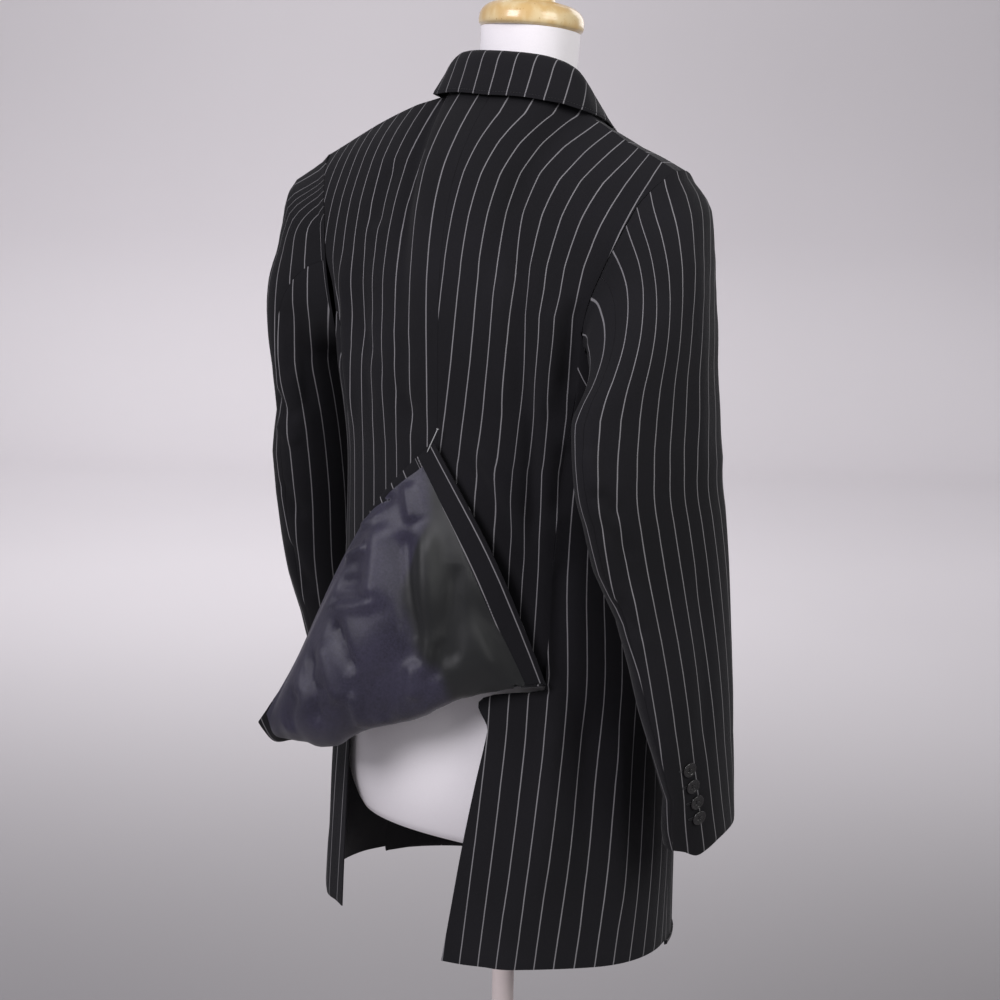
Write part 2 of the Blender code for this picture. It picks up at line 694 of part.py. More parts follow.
def sleeve_faces(right):
    grid = sleeve_grid(right)
    normals = grid_normals(grid, closed=True)
    centre = grid[12].mean(axis=0)
    if ((grid[12] - centre) * normals[12]).sum() < 0:
        normals = -normals
    normals[0, :, 0] = 0.0
    return grid, unit(normals)


def build_sleeves(cloth):
    for right in (True, False):
        grid, normals = sleeve_faces(right)
        count = grid.shape[1]
        side = "right" if right else "left"
        for name, first, last in (("under_sleeve_", HINDARM_COLUMN, INSEAM_COLUMN),
                                  ("top_sleeve_", INSEAM_COLUMN, HINDARM_COLUMN + count)):
            pick = np.arange(first, last + 1) % count
            piece = trim(grid[:, pick], first=JOINT / 2, last=JOINT / 2)
            piece, look = faced(piece, normals[:, pick])
            wall(name + side, piece, look, CLOTH, cloth)


# Buttons and pin

def button(name, size, centre, axis, material):
    r = size / 2
    profile = ((0, 0), (r * 0.80, 0), (r * 0.98, 0.0008), (r, 0.0016), (r * 0.90, 0.0024),
               (r * 0.74, 0.0023), (r * 0.66, 0.0017), (0, 0.0016))
    return lathe(name, profile, material, 12, centre, axis)


def sleeve_spot(right, level, share):
    """Point and outward direction of a sleeve's cloth; share runs once round it from the outside."""
    table = SLEEVE_R if right else SLEEVE_L
    knots = [-row[0] for row in table]
    steps = np.array([share * 12 - 0.1, share * 12, share * 12 + 0.1])
    here = sleeve_oval(smooth(knots, table, -level)[0], right, steps)
    below = sleeve_oval(smooth(knots, table, -(level - 0.004))[0], right, steps)
    look = unit(np.cross(here[2] - here[0], below[1] - here[1]))
    centre = here.mean(axis=0) - here[1]
    if right:
        look = look * np.sign(look[1]) if abs(look[1]) > 0.3 else look * -np.sign(look[0])
    else:
        look = look * np.sign(look[1]) if abs(look[1]) > 0.3 else look * np.sign(look[0])
    return here[1], look, centre


def build_buttons(material):
    for right in (True, False):
        side = "right" if right else "left"
        for k, (level, share) in enumerate(CUFF_BUTTONS):
            point, look, _ = sleeve_spot(right, level, share)
            button(f"cuff_button_{side}_{k + 1}", CUFF_BUTTON, point + look * 0.0005, look, material)
    for k, level in enumerate(FRONT_BUTTONS):
        point = ring_points(level, [5.0])[0]
        look = ring_normals(level, [5.0])[0]
        look = look * -np.sign(look[1])
        button(f"front_button_{k + 1}", FRONT_BUTTON, point + look * 0.0003, look, material)


def build_pin(material):
    """Straight pin through the flap's corner, lying on the back's centre seam."""
    head = np.array([-0.0065, 0.1540, 1.168])
    low = np.array([0.0040, 0.1585, 1.142])
    axis = unit(head - low)
    size = float(np.linalg.norm(head - low))
    profile = ((0, 0), (0.0003, 0.002), (0.0005, 0.004), (0.0005, size - 0.0012), (0.0012, size - 0.0010),
               (0.0013, size), (0, size + 0.0006))
    lathe("pin", profile, material, 10, low, axis)


# Pockets

def pocket_grid(right, low_level, high_level, first, last, count=6):
    levels = np.linspace(high_level, low_level, 3)
    shares = np.linspace(first, last, count)
    grid = np.array([ring_points(z, turn(right, shares)) for z in levels])
    normals = np.array([ring_normals(z, turn(right, shares)) for z in levels])
    if normals.mean(axis=(0, 1))[1] > 0:
        normals = -normals
    return grid, normals


def build_pockets(cloth):
    for right in (True, False):
        grid, normals = faced(*pocket_grid(right, 0.905, 0.960, 3.08, 4.12))
        wall("pocket_flap_right" if right else "pocket_flap_left", grid, normals, CLOTH, cloth,
             CLOTH + 3 * JOINT)
    grid, normals = front_faces(False)
    rows, columns = slice(5, 8), slice(2, 6)
    piece = grid[rows, columns].copy()
    look = normals[rows, columns]
    middle = piece[1].copy()
    for r, mix in enumerate((0.35, 0.0, -0.35)):
        target = piece[0] if mix > 0 else piece[2]
        piece[r] = middle + (target - middle) * abs(mix) * 0.85
    look = unit(np.array([look[1]] * 3))
    piece, look = faced(piece, look)
    wall("breast_welt", piece, look, CLOTH, cloth, CLOTH + 4 * JOINT)


# Dress form

def form_ring(row, count):
    level, x, y, wide, deep = row
    at = 2 * np.pi * np.arange(count) / count
    c, s = np.cos(at), np.sin(at)
    power = 0.86
    return np.stack([x + wide * np.sign(c) * np.abs(c) ** power,
                     y + deep * np.sign(s) * np.abs(s) ** power, np.full(count, level)], axis=-1)


def build_form(material):
    count = 32
    knots = [row[0] for row in FORM_RINGS]
    levels = np.unique(np.concatenate([np.linspace(0.70, 1.34, 12), np.linspace(1.34, 1.572, 13)]))
    rings = [form_ring(row, count) for row in smooth(knots, FORM_RINGS, levels)]
    top = rings[-1]
    slope = np.tan(np.radians(CAP_TILT))
    for ring, share in ((rings[-1], 1.0), (rings[-2], 0.6), (rings[-3], 0.25)):
        ring[:, 2] += (ring[:, 1] - top[:, 1].mean()) * slope * share
    points = np.concatenate(rings + [[rings[0].mean(axis=0)], [rings[-1].mean(axis=0)]])
    faces = []
    for r in range(len(rings) - 1):
        for c in range(count):
            a, b = r * count + c, r * count + (c + 1) % count
            faces += two(a, b, b + count, a + count)
    low, high = len(points) - 2, len(points) - 1
    last = (len(rings) - 1) * count
    for c in range(count):
        faces.append((low, (c + 1) % count, c))
        faces.append((high, last + c, last + (c + 1) % count))
    solid("form_torso", points, faces, material)
    return rings[-1].mean(axis=0)


def build_cap(centre, material):
    tilt = np.radians(CAP_TILT)
    axis = (0.0, -np.sin(tilt), np.cos(tilt))
    profile = ((0, 0), (0.0520, 0), (0.0555, 0.0030), (0.0560, 0.0090), (0.0545, 0.0160), (0.0490, 0.0225),
               (0.0400, 0.0265), (0.0270, 0.0290), (0.0230, 0.0320), (0.0250, 0.0370), (0.0310, 0.0420),
               (0.0330, 0.0490), (0.0300, 0.0570), (0.0200, 0.0630), (0.0080, 0.0655), (0, 0.0660))
    lathe("neck_cap", profile, material, 24, np.array(centre) + np.array(axis) * JOINT, axis)


def build_stand(material):
    lathe("base", ((0, 0), (0.186, 0), (0.190, 0.003), (0.190, 0.009), (0.184, 0.013), (0.060, 0.022),
                   (0.034, 0.030), (0.030, 0.070), (0.026, 0.078), (0, 0.078)), material, 32)
    lathe("pole", ((0, 0.0783), (0.0125, 0.0783), (0.0125, 0.500), (0.0125, 0.6997), (0, 0.6997)), material, 20)


def build():
    cloth, silk = pinstripe(), satin()
    build_backs(cloth)
    build_flap_inside(cloth, silk)
    build_sides(cloth)
    build_fronts(cloth)
    build_lapels(cloth)
    build_collar(cloth)
    build_sleeves(cloth)
    build_pockets(cloth)
    build_buttons(horn())
    build_pin(steel())
    centre = build_form(cover())
    build_cap(centre, beech())
    build_stand(enamel())


build()
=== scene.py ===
import math

import bpy
import numpy as np
from mathutils import Matrix, Vector


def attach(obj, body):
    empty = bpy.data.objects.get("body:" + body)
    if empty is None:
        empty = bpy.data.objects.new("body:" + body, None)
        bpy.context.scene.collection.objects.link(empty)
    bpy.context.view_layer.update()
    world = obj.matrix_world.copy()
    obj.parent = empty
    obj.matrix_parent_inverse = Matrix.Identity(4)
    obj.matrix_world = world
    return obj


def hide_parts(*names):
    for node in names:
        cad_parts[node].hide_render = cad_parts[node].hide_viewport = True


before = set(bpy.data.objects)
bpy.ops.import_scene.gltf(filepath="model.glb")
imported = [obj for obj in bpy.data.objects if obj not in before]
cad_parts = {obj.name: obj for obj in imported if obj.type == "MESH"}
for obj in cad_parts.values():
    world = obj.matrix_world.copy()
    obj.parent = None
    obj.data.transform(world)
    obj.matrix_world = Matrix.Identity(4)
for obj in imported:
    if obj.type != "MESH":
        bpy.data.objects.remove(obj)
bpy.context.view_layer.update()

sides = (True, False)  # the wearer's right, then the left


def sideOf(right):
    return -1.0 if right else 1.0


def sideName(right):
    return "right" if right else "left"


# curves and grids

def mm(*rows):  # a table given in millimetres
    return np.array(rows) / 1000


def unit(vectors):
    return vectors / np.maximum(np.linalg.norm(vectors, axis=-1, keepdims=True), 1e-12)


def ease(t):
    t = np.clip(t, 0.0, 1.0)
    return t * t * (3 - 2 * t)


def smoothRows(knots, rows, at):  # a smooth curve through rows of values, read where asked
    knots, rows = np.asarray(knots, float), np.asarray(rows, float)
    at = np.atleast_1d(np.asarray(at, float))
    slope = np.gradient(rows, knots, axis=0)
    k = np.clip(np.searchsorted(knots, at, side="right") - 1, 0, len(knots) - 2)
    shape = (-1,) + (1,) * (rows.ndim - 1)
    step = (knots[k + 1] - knots[k]).reshape(shape)
    t = (at - knots[k]).reshape(shape) / step
    return ((1 + 2 * t) * (1 - t) ** 2 * rows[k] + t * (1 - t) ** 2 * step * slope[k]
            + t ** 2 * (3 - 2 * t) * rows[k + 1] + t ** 2 * (t - 1) * step * slope[k + 1])


def summed(steps, axis=0):  # a running total that starts from nought
    return np.insert(np.cumsum(steps, axis=axis), 0, 0.0, axis=axis)


def stepsOf(points, axis=0):
    return np.linalg.norm(np.diff(points, axis=axis), axis=-1)


def runOf(points, axis=0):  # the length run along a line, or along a grid's rows or columns
    return summed(stepsOf(points, axis), axis)


def readAt(at, run, line):
    return np.stack([np.interp(at, run, line[:, i]) for i in range(3)], axis=-1)


def along(points, shares):  # points at shares of a smooth line's length
    chord = runOf(points)
    fine = smoothRows(chord, points, np.linspace(0, chord[-1], 241))
    run = runOf(fine)
    return readAt(np.asarray(shares, float) * run[-1], run, fine)


def loopPoints(points, at):  # a smooth closed line through points, read at steps round it
    points = np.asarray(points, float)
    n = len(points)
    padded = np.concatenate([points[-3:], points, points[:4]])
    return smoothRows(np.arange(-3, n + 4), padded, np.mod(np.asarray(at, float), n))


def refineRows(grid, step):
    gaps = stepsOf(grid).mean(axis=1)
    knots, at = summed(gaps), [0.0]
    for k, gap in enumerate(gaps):
        count = max(1, int(round(gap / step)))
        at += list(knots[k] + gap * np.arange(1, count + 1) / count)
    return smoothRows(knots, grid, at)


def refine(grid, step):
    return refineRows(refineRows(grid, step).transpose(1, 0, 2), step).transpose(1, 0, 2)


def gridNormals(grid):
    return unit(np.cross(np.gradient(grid, axis=1, edge_order=2), np.gradient(grid, axis=0, edge_order=2)))


def facing(grid, way):  # 1 where a grid's own normals point a given way, or -1
    return 1.0 if (gridNormals(grid) * way).sum() > 0 else -1.0


def clothPlace(grid, row=0, column=0):  # where each point lies on the flat cloth, from one row and column
    down = stepsOf(grid)
    down[row:] = down[row:].mean(axis=1, keepdims=True)  # the cloth hangs level under that row
    v = summed(down)
    v = v - v[row]
    across = stepsOf(grid, 1)
    across = np.sqrt(np.maximum(across ** 2 - np.diff(v, axis=1) ** 2, (0.25 * across) ** 2))
    u = summed(across, 1)
    return np.stack([u - u[:, column:column + 1], v], axis=-1)


# meshes

def addObject(name, data):
    thing = bpy.data.objects.new(name, data)
    bpy.context.scene.collection.objects.link(thing)
    return thing


def addMesh(name, points, faces, materials, slots=None, sharpOver=None):
    mesh = bpy.data.meshes.new(name)
    mesh.from_pydata(np.asarray(points).tolist(), [], faces)
    for material in materials:
        mesh.materials.append(material)
    if slots is not None:
        mesh.polygons.foreach_set("material_index", np.asarray(slots, np.int32))
    mesh.polygons.foreach_set("use_smooth", np.ones(len(faces), bool))
    mesh.update()
    if sharpOver:
        mesh.set_sharp_from_angle(angle=math.radians(sharpOver))
    return addObject(name, mesh)


def band(low, high, count):  # faces between two rings of points
    return [(low + k, low + (k + 1) % count, high + (k + 1) % count, high + k) for k in range(count)]


def ringShell(name, rings, material, sharpOver):  # a closed skin over rings, with a single point at each end
    faces, first = [], 0
    for low, high in zip(rings[:-1], rings[1:]):
        second, count = first + len(low), max(len(low), len(high))
        for quad in band(first, second, count):
            if len(low) == 1:
                quad = (first, quad[2], quad[3])
            elif len(high) == 1:
                quad = (quad[0], quad[1], second)
            faces.append(quad)
        first = second
    return addMesh(name, np.concatenate(rings), faces, [material], sharpOver=sharpOver)


def placed(points, centre, axis, across):  # a piece's own points, stood on the cloth
    w, u = unit(np.array(axis, float)), unit(np.array(across, float))
    return np.asarray(points) @ np.array([u, np.cross(w, u), w]) + np.array(centre)


def ringOf(radius, height, angles):
    return np.stack([radius * np.cos(angles), radius * np.sin(angles), np.full(len(angles), height)], axis=-1)


def lathe(name, profile, material, count, centre=(0, 0, 0), axis=(0, 0, 1)):
    angles = 2 * np.pi * (np.arange(count) + 0.5) / count
    rings = [ringOf(radius, height, angles if radius else angles[:1]) for radius, height in profile]
    across = np.cross(axis, (0.0, 1.0, 0.0))
    return ringShell(name, [placed(ring, centre, axis, across) for ring in rings], material, 40)


def standFor(thing, slot, *nodes):
    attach(thing, "root")
    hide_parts(*nodes)


# the jacket's shape: rings of the body, shared seams and the steps that neighbours sample

jacket = {"thick": 0.0013, "gap": 0.0003, "cell": 0.0055, "fineCell": 0.003, "seamDip": 0.0004, "stripe": 0.0205,
          "blend": 0.0016}
joint = jacket["gap"]
hem, ventTop, yoke = 0.588, 0.905, 1.215
ringLevels = mm(588, 740, 905, 1020, 1130, 1215)
# at each level, x and y from the back's centre round by the wearer's right
ringTable = mm(
    ((40, 160), (-75, 150), (-172, 62), (-185, -30), (-128, -125), (10, -172), (140, -160), (230, -85), (240, 5),
     (178, 92)),
    ((22, 156), (-98, 140), (-180, 52), (-184, -35), (-125, -125), (8, -165), (132, -150), (214, -70), (223, 10),
     (170, 94)),
    ((6, 150), (-121, 118), (-184, 42), (-182, -40), (-122, -125), (4, -158), (125, -138), (196, -55), (206, 15),
     (157, 96)),
    ((2, 146), (-125, 116), (-175, 40), (-176, -40), (-118, -124), (1, -155), (118, -132), (182, -50), (190, 18),
     (146, 102)),
    ((1, 145), (-134, 113), (-174, 35), (-178, -42), (-120, -128), (0, -158), (122, -132), (178, -48), (184, 22),
     (143, 106)),
    ((0, 146), (-144, 108), (-190, 34), (-192, -40), (-130, -132), (0, -163), (132, -134), (194, -44), (196, 28),
     (152, 108)),
)
backLine = mm((0, 146, 1215), (0, 146, 1290), (0, 141, 1360), (0, 121, 1425), (0, 84, 1478), (0, 50, 1511))
neckLine = mm((0, 50, 1511), (34, 46, 1511), (64, 33, 1508), (84, 10, 1500))
shoulders = {
    True: mm((-84, 10, 1500), (-130, 20, 1480), (-175, 27, 1458), (-210, 32, 1438)),
    False: mm((84, 10, 1500), (135, 18, 1478), (187, 24, 1452), (232, 26, 1430)),
}
armholes = {
    True: mm((-210, 32, 1438), (-191, 66, 1412), (-176.5, 86.5, 1372), (-160, 100, 1325), (-147, 105, 1276),
             (-159, 87, 1238), (-191, 26, 1229), (-193, -26, 1242), (-185, -56, 1280), (-184, -62, 1330),
             (-192, -48, 1385), (-206, -10, 1428)),
    False: mm((232, 26, 1430), (214, 60, 1402), (196, 83, 1363), (184, 96, 1318), (175, 96, 1270), (186, 68, 1238),
              (198, 22, 1228), (196, -26, 1240), (190, -56, 1276), (192, -62, 1325), (202, -48, 1380),
              (222, -12, 1420)),
}
backSteps = np.linspace(4, 0, 8)
sideSteps = np.linspace(4, 7, 7)
frontSteps = np.linspace(7, 12, 8)
levelsAboveVent = np.linspace(yoke, ventTop, 8)


def ringPoints(level, at, right=True):  # points round the body, counted from the back's centre
    at = np.asarray(at, float) if right else 10.0 - np.asarray(at, float)
    flat = loopPoints(smoothRows(ringLevels, ringTable, level)[0], at)
    return np.concatenate([flat, np.full((len(flat), 1), level)], axis=1)


def ringNormals(level, at, right=True):
    at = np.asarray(at, float) if right else 10.0 - np.asarray(at, float)
    level = min(max(level, hem + 0.002), yoke - 0.002)
    across = ringPoints(level, at + 0.02) - ringPoints(level, at - 0.02)
    up = ringPoints(level + 0.002, at) - ringPoints(level - 0.002, at)
    return unit(np.cross(across, up))


def armhole(right, steps):
    return loopPoints(armholes[right], steps)


def shoulder(right):
    return along(shoulders[right], np.linspace(0, 1, 9))


def trim(grid, first=0.0, last=0.0, top=0.0):  # draws edges back, for the gap at a seam
    grid = grid.copy()
    grid[:, 0] += unit(grid[:, 1] - grid[:, 0]) * first
    grid[:, -1] += unit(grid[:, -2] - grid[:, -1]) * last
    grid[0] += unit(grid[1] - grid[0]) * top
    return grid


def sharesOf(curve):
    run = runOf(curve)
    return run / run[-1]


def patch(bottom, top, first, last):  # fills in between four edges
    w = ease(sharesOf(last))[:, None, None]
    c = np.linspace(0, 1, len(bottom))[None, :, None]
    grid = (1 - w) * bottom[None] + w * top[None]
    for share, edge in ((1 - c, first), (c, last)):
        grid = grid + share * (edge[:, None] - ((1 - w) * edge[0] + w * edge[-1]))
    return grid[::-1]


def sideBorder(right, share, steps):
    start = ringPoints(yoke, [share], right)[0]
    hole = armhole(right, steps)
    return np.concatenate([[start, (start + hole[0]) / 2], hole])


# cloth shells

def foldDepth(points, folds):  # soft folds: two ends, how wide and how high, with troughs below nought
    depth = np.zeros(points.shape[:-1])
    for fold in folds:
        start, run = fold[:3], fold[3:6] - fold[:3]
        t = np.clip(((points - start) @ run) / (run @ run), 0, 1)
        far = np.linalg.norm(points - start - t[..., None] * run, axis=-1)
        depth += fold[7] * ease(np.minimum(t, 1 - t) * 4 + 0.15) * np.exp(-(far / fold[6]) ** 2)
    return depth


def softness(points, size):
    waves = ((11, 7, 9, 0.3), (-8, 13, 6, 1.9), (19, -6, 12, 4.1), (-14, -17, 21, 2.2), (27, 9, -15, 5.3))
    return size * sum(np.sin(points @ np.array(way) * 2 + start) for *way, start in waves) / len(waves)


# how far the shoulders sink or rise, from the wearer's right to the left
shoulderLift = mm((-240, 0), (-210, -2), (-150, -9), (-100, -8), (-80, -2), (0, 0), (80, 3), (120, 8), (170, 8),
                  (230, 6))
hang = {"shouldersFrom": 1.36, "skirtFrom": 0.86, "flare": 0.009, "flareBeyond": 0.12, "form": 0.26}


def settle(grid):  # how the whole jacket hangs on the form, the same for every piece
    grid = grid.copy()
    grid[..., 2] += np.interp(grid[..., 0], *shoulderLift.T) * ease((grid[..., 2] - hang["shouldersFrom"]) / 0.10)
    low, aside = ease((hang["skirtFrom"] - grid[..., 2]) / 0.20), ease((-grid[..., 0] - hang["flareBeyond"]) / 0.06)
    grid[..., 0] -= hang["flare"] * low * aside * ease((hang["form"] + grid[..., 0]) / 0.03)
    return grid


madeGrids = {}  # each piece's outer surface, for what is sewn on it


def makeCloth(node, grid, place, sign, outside, inside, rests=("form_torso",), held="draped", slot="pinstripe",
              folds=(), soft=0.0008, thick=jacket["thick"], lift=0.0, floor=None):
    grid = settle(grid)
    depth = lift + foldDepth(grid, folds) + softness(grid, soft)
    if floor is not None:
        depth = floor + (depth - floor + np.sqrt((depth - floor) ** 2 + jacket["blend"] ** 2)) / 2
    edge = np.zeros(grid.shape[:2])
    edge[:, [0, -1]] = edge[[0, -1], :] = 1.0
    grid = grid + gridNormals(grid) * sign * (depth - jacket["seamDip"] * edge)[..., None]
    normals = gridNormals(grid) * sign
    madeGrids[node] = (grid, normals)
    index = np.arange(edge.size).reshape(edge.shape)
    outer = np.stack([index[:-1, :-1], index[:-1, 1:], index[1:, 1:], index[1:, :-1]], axis=-1).reshape(-1, 4)
    ring = np.concatenate([index[0, :-1], index[:-1, -1], index[-1, :0:-1], index[:0:-1, 0]])
    after, under = np.roll(ring, -1), index.size
    rim = np.stack([ring, ring + under, after + under, after], axis=-1)
    if sign < 0:
        outer, rim = outer[:, ::-1], rim[:, ::-1]
    faces = np.concatenate([outer, outer[:, ::-1] + under, rim])
    points = np.concatenate([grid.reshape(-1, 3), (grid - normals * thick).reshape(-1, 3)])
    slots = np.repeat([0, 1, 0], [len(outer), len(outer), len(rim)])
    thing = addMesh(node + "_cloth", points, faces.tolist(), [outside, inside], slots, 55)
    flat = np.concatenate([place.reshape(-1, 2)] * 2)
    thing.data.uv_layers.new(name="cloth").data.foreach_set("uv", flat[faces].ravel())
    standFor(thing, slot, node)
    wide, long = (float(runOf(grid, axis).max()) * 1.01 for axis in (1, 0))
    one, two = grid[1:, 1:] - grid[:-1, :-1], grid[1:, :-1] - grid[:-1, 1:]
    area = min(float(np.linalg.norm(np.cross(one, two), axis=-1).sum() / 2), wide * long)
    list(rests)
    return thing


# the photo's viewpoint

camera = {"azimuth": 213.0, "pitch": 11.83, "roll": 1.0, "focal": 2193.0, "distance": 2.361, "height": 1.561,
          "side": -0.013}
viewTurn = math.radians(camera["azimuth"])
viewAcross = np.array([math.cos(viewTurn), math.sin(viewTurn), 0.0])
viewDeep = np.array([-math.sin(viewTurn), math.cos(viewTurn), 0.0])


def studioPlace(deep, aside, high):
    return viewDeep * deep + viewAcross * aside + np.array([0, 0, high])


# the back and its turned-up flap: its lower fold, its fullest line and its hem, from right to left

flapColumns = mm(
    ((-122.5, 126.5, 911), (-86, 150, 1025), (-1, 153, 1155)), ((-60, 160, 896), (-10, 183, 980), (60, 160, 1090)),
    ((28, 184, 863), (64, 202, 920), (101, 172, 1015)), ((105, 186, 823), (130, 208, 850), (147, 186, 905)),
    ((160, 150, 804), (184, 186, 805), (196, 200, 827)),
)
flap = {"drop": 0.60, "lean": 0.15, "swing": 0.014, "swingShare": 0.45, "rollDeep": 0.35, "rollUp": 0.15}
underlap = {True: 0.054, False: 0.024}  # how far each side runs under the back at its vent
flapSteps = np.concatenate([np.linspace(0, 0.40, 10)[:-1], np.linspace(0.40, 0.94, 7), [1.0]])


def flapGrid(shares, steps):
    lines = smoothRows(np.linspace(0, 1, len(flapColumns)), flapColumns, shares)
    grid = np.empty((len(steps), len(shares), 3))
    for c, (root, (fold, full, edge)) in enumerate(zip(ringPoints(ventTop, 1.0 - 2.0 * np.asarray(shares)), lines)):
        drop = root - fold
        swing = min(flap["swingShare"] * drop[2], flap["swing"])
        low = root * (1 - flap["lean"]) + fold * flap["lean"]
        low[2] = root[2] - flap["drop"] * drop[2]
        high = fold + (unit(full - fold) + (0.0, flap["rollDeep"], flap["rollUp"])) * swing
        grid[:, c] = along([root, low, fold, high, full, edge], steps)
    return grid


def backGrid(right):
    side = sideBorder(right, 1.0, backSteps)
    neck = along(neckLine * (sideOf(right), 1, 1), np.linspace(0, 1, 4))
    top = np.concatenate([neck[:-1], shoulder(right)])
    share = np.linspace(0, 1, len(top))
    upper = patch(ringPoints(yoke, share, right), top, along(backLine, sharesOf(side)), side)
    middle = np.array([ringPoints(z, share, right) for z in levelsAboveVent[1:]])
    return np.concatenate([upper, middle, flapGrid(0.5 + 0.5 * sideOf(right) * share, flapSteps[1:])])


bodyFolds = mm(
    (-74, 113, 1365, -97, 129, 1183, 12, -9), (-94, 112, 1356, -108, 125, 1175, 12, 6),
    (-58, 122, 1343, -76, 135, 1183, 13, 4.5), (-100, 127, 1226, -108, 125, 1038, 8, -6),
    (-140, 109, 1311, -137, 112, 1207, 9, -7.5), (-26, 144, 1151, -116, 121, 1010, 9, -4.5),
    (-43, 142, 1159, -126, 116, 1042, 10, 4.5), (-119, 116, 1308, -121, 120, 1187, 9, 4.5),
    (-71, 66, 1454, -77, 112, 1364, 14, 2), (183, 95, 1333, 145, 107, 1159, 10, -6),
    (151, 103, 1339, 135, 112, 1147, 10, 6), (124, 107, 1351, 100, 127, 1163, 11, -3),
    (14, 145, 1155, 135, 113, 1277, 10, -3), (53, 137, 1263, 42, 141, 1151, 14, -3),
    (109, 69, 1434, 113, 106, 1362, 14, -4.5), (-138, 111, 1167, -130, 115, 1082, 10, -6),
    (-132, 111, 1042, -131, 110, 913, 10, -4.5), (-119, 120, 886, -92, 142, 646, 16, -4.5),
    (-156, 89, 890, -157, 84, 631, 14, -6), (-126, 114, 890, -126, 118, 669, 14, 4.5),
    (-178, 59, 862, -179, 51, 627, 12, 4.5), (206, 50, 900, 214, 70, 640, 14, -4.5),
    (226, -20, 880, 236, -10, 620, 15, 4.5), (192, 10, 1180, 196, 20, 960, 12, -4.5),
    (-186, -10, 1170, -180, 0, 960, 12, -4.5), (-20, -158, 1100, -110, -130, 1160, 9, 4.5),
    (-18, -157, 1090, -120, -124, 1040, 10, -4.5), (20, -157, 1100, 112, -134, 1170, 9, 4.5),
    (18, -157, 1088, 130, -124, 1020, 11, -4.5), (-90, -140, 880, -80, -146, 640, 16, 4.5),
    (90, -146, 870, 100, -158, 640, 16, -4.5), (-120, -112, 1390, -128, -130, 1250, 12, -4.5),
    (128, -112, 1380, 126, -130, 1240, 12, -4.5),
)
# how far the right half's stripes have run into the centre seam, by level
seamShift = mm((600, 34), (1130, 30.7), (1272, 10.2), (1330, 3), (1392, 0), (1600, 0))
# how far the stripes stray on each half of the back, in mm, at levels up it and distances from its seam
stripeStray = {
    False: (
        (1.14, (0, -2.8, -6.7, -2.5, -4.5, -2.9, 1.6, 1.3, 4.4)),
        (1.24, (0, -5.3, -12, -11.4, -6.4, -2, -0.5, -1, -0.1)),
        (1.29, (0, -7, -15.1, -18.5, -12.2, -6.9, -5.4, -4.8, -4.3)),
        (1.34, (0, -7.4, -15.6, -23.8, -17, -12.7, -9.2, -5.2, -2.2)),
        (1.39, (0, -8, -18, -30, -27.4, -23.7, -18.7, -8.8, 3.5)),
        (1.43, (0, -7.5, -18, -31.5, -33.7, -28.8, -20.9, -8.6, 4.4)),
        (1.49, (0, -5, -14, -26, -36.2, -26.5, -17.2, -11.5, -2.8)),
    ),
    True: (
        (1.14, (0, -0.6, -4.3, -6, -9.1, 3.1, 9, 9, 12)), (1.19, (0, -0.1, -3.1, -3.6, -4.6, 8.7, 11.3, 10.5, 14)),
        (1.24, (0, 0.7, -1.2, 0.5, 3.3, 17.2, 19.1, 21.4, 20)),
        (1.29, (0.4, 2.6, 3.6, 5.9, 13.9, 24.2, 29.3, 27.6, 16.7)),
        (1.34, (1.2, 4.6, 7.4, 9.7, 15.5, 19.4, 20.5, 16.2, 11.8)),
        (1.39, (0.7, 4.1, 6.9, 9.8, 10.2, 9.4, 6.6, 3.1, -1.6)),
        (1.43, (-0.1, 0.9, 2.5, 3.7, 2.1, -0.2, -4.5, -6.7, -7.4)),
        (1.46, (-2, -3.9, -5.3, -7.9, -11, -14.5, -18.3, -9.5, -7.2)),
        (1.49, (-4, -11.4, -18.7, -26, -28.9, -31.1, -28.9, -17.3, -7.4)),
    ),
}
strayPitch = 0.03  # between those distances


def strayOf(right, across, level):
    levels, rows = zip(*stripeStray[right])
    columns = np.arange(len(rows[0]))
    at = np.clip(across / strayPitch, 0, columns[-1] - 0.001)
    up = np.interp(level, levels, np.arange(len(levels)))
    return sum(np.maximum(1 - abs(up - k), 0) * np.interp(at, columns, row) for k, row in enumerate(rows)) / 1000


def rowAt(grid, level):  # the first row whose first point is at or under a level
    return int(np.argmax(grid[:, 0, 2] <= level + 0.001))


def makeBacks(wool, satin):
    for right in sides:
        grid = refine(trim(backGrid(right), joint / 2, joint / 2, joint / 2), jacket["cell"])
        place = clothPlace(grid, rowAt(grid, yoke))
        place[..., 0] += jacket["stripe"] / 2
        if right:
            level = grid[:, 0, 2].copy()
            level[int(np.argmin(level)):] = seamShift[0, 0]
            place[..., 0] += np.interp(level, *seamShift.T)[:, None]
        place[..., 0] += strayOf(right, place[..., 0], np.minimum.accumulate(grid[..., 2], axis=0))
        place[..., 0] *= sideOf(right)
        sign = facing(grid[:len(grid) // 4], (0, 1, 0))
        makeCloth("back_" + sideName(right), grid, place, sign, wool, satin, folds=bodyFolds)


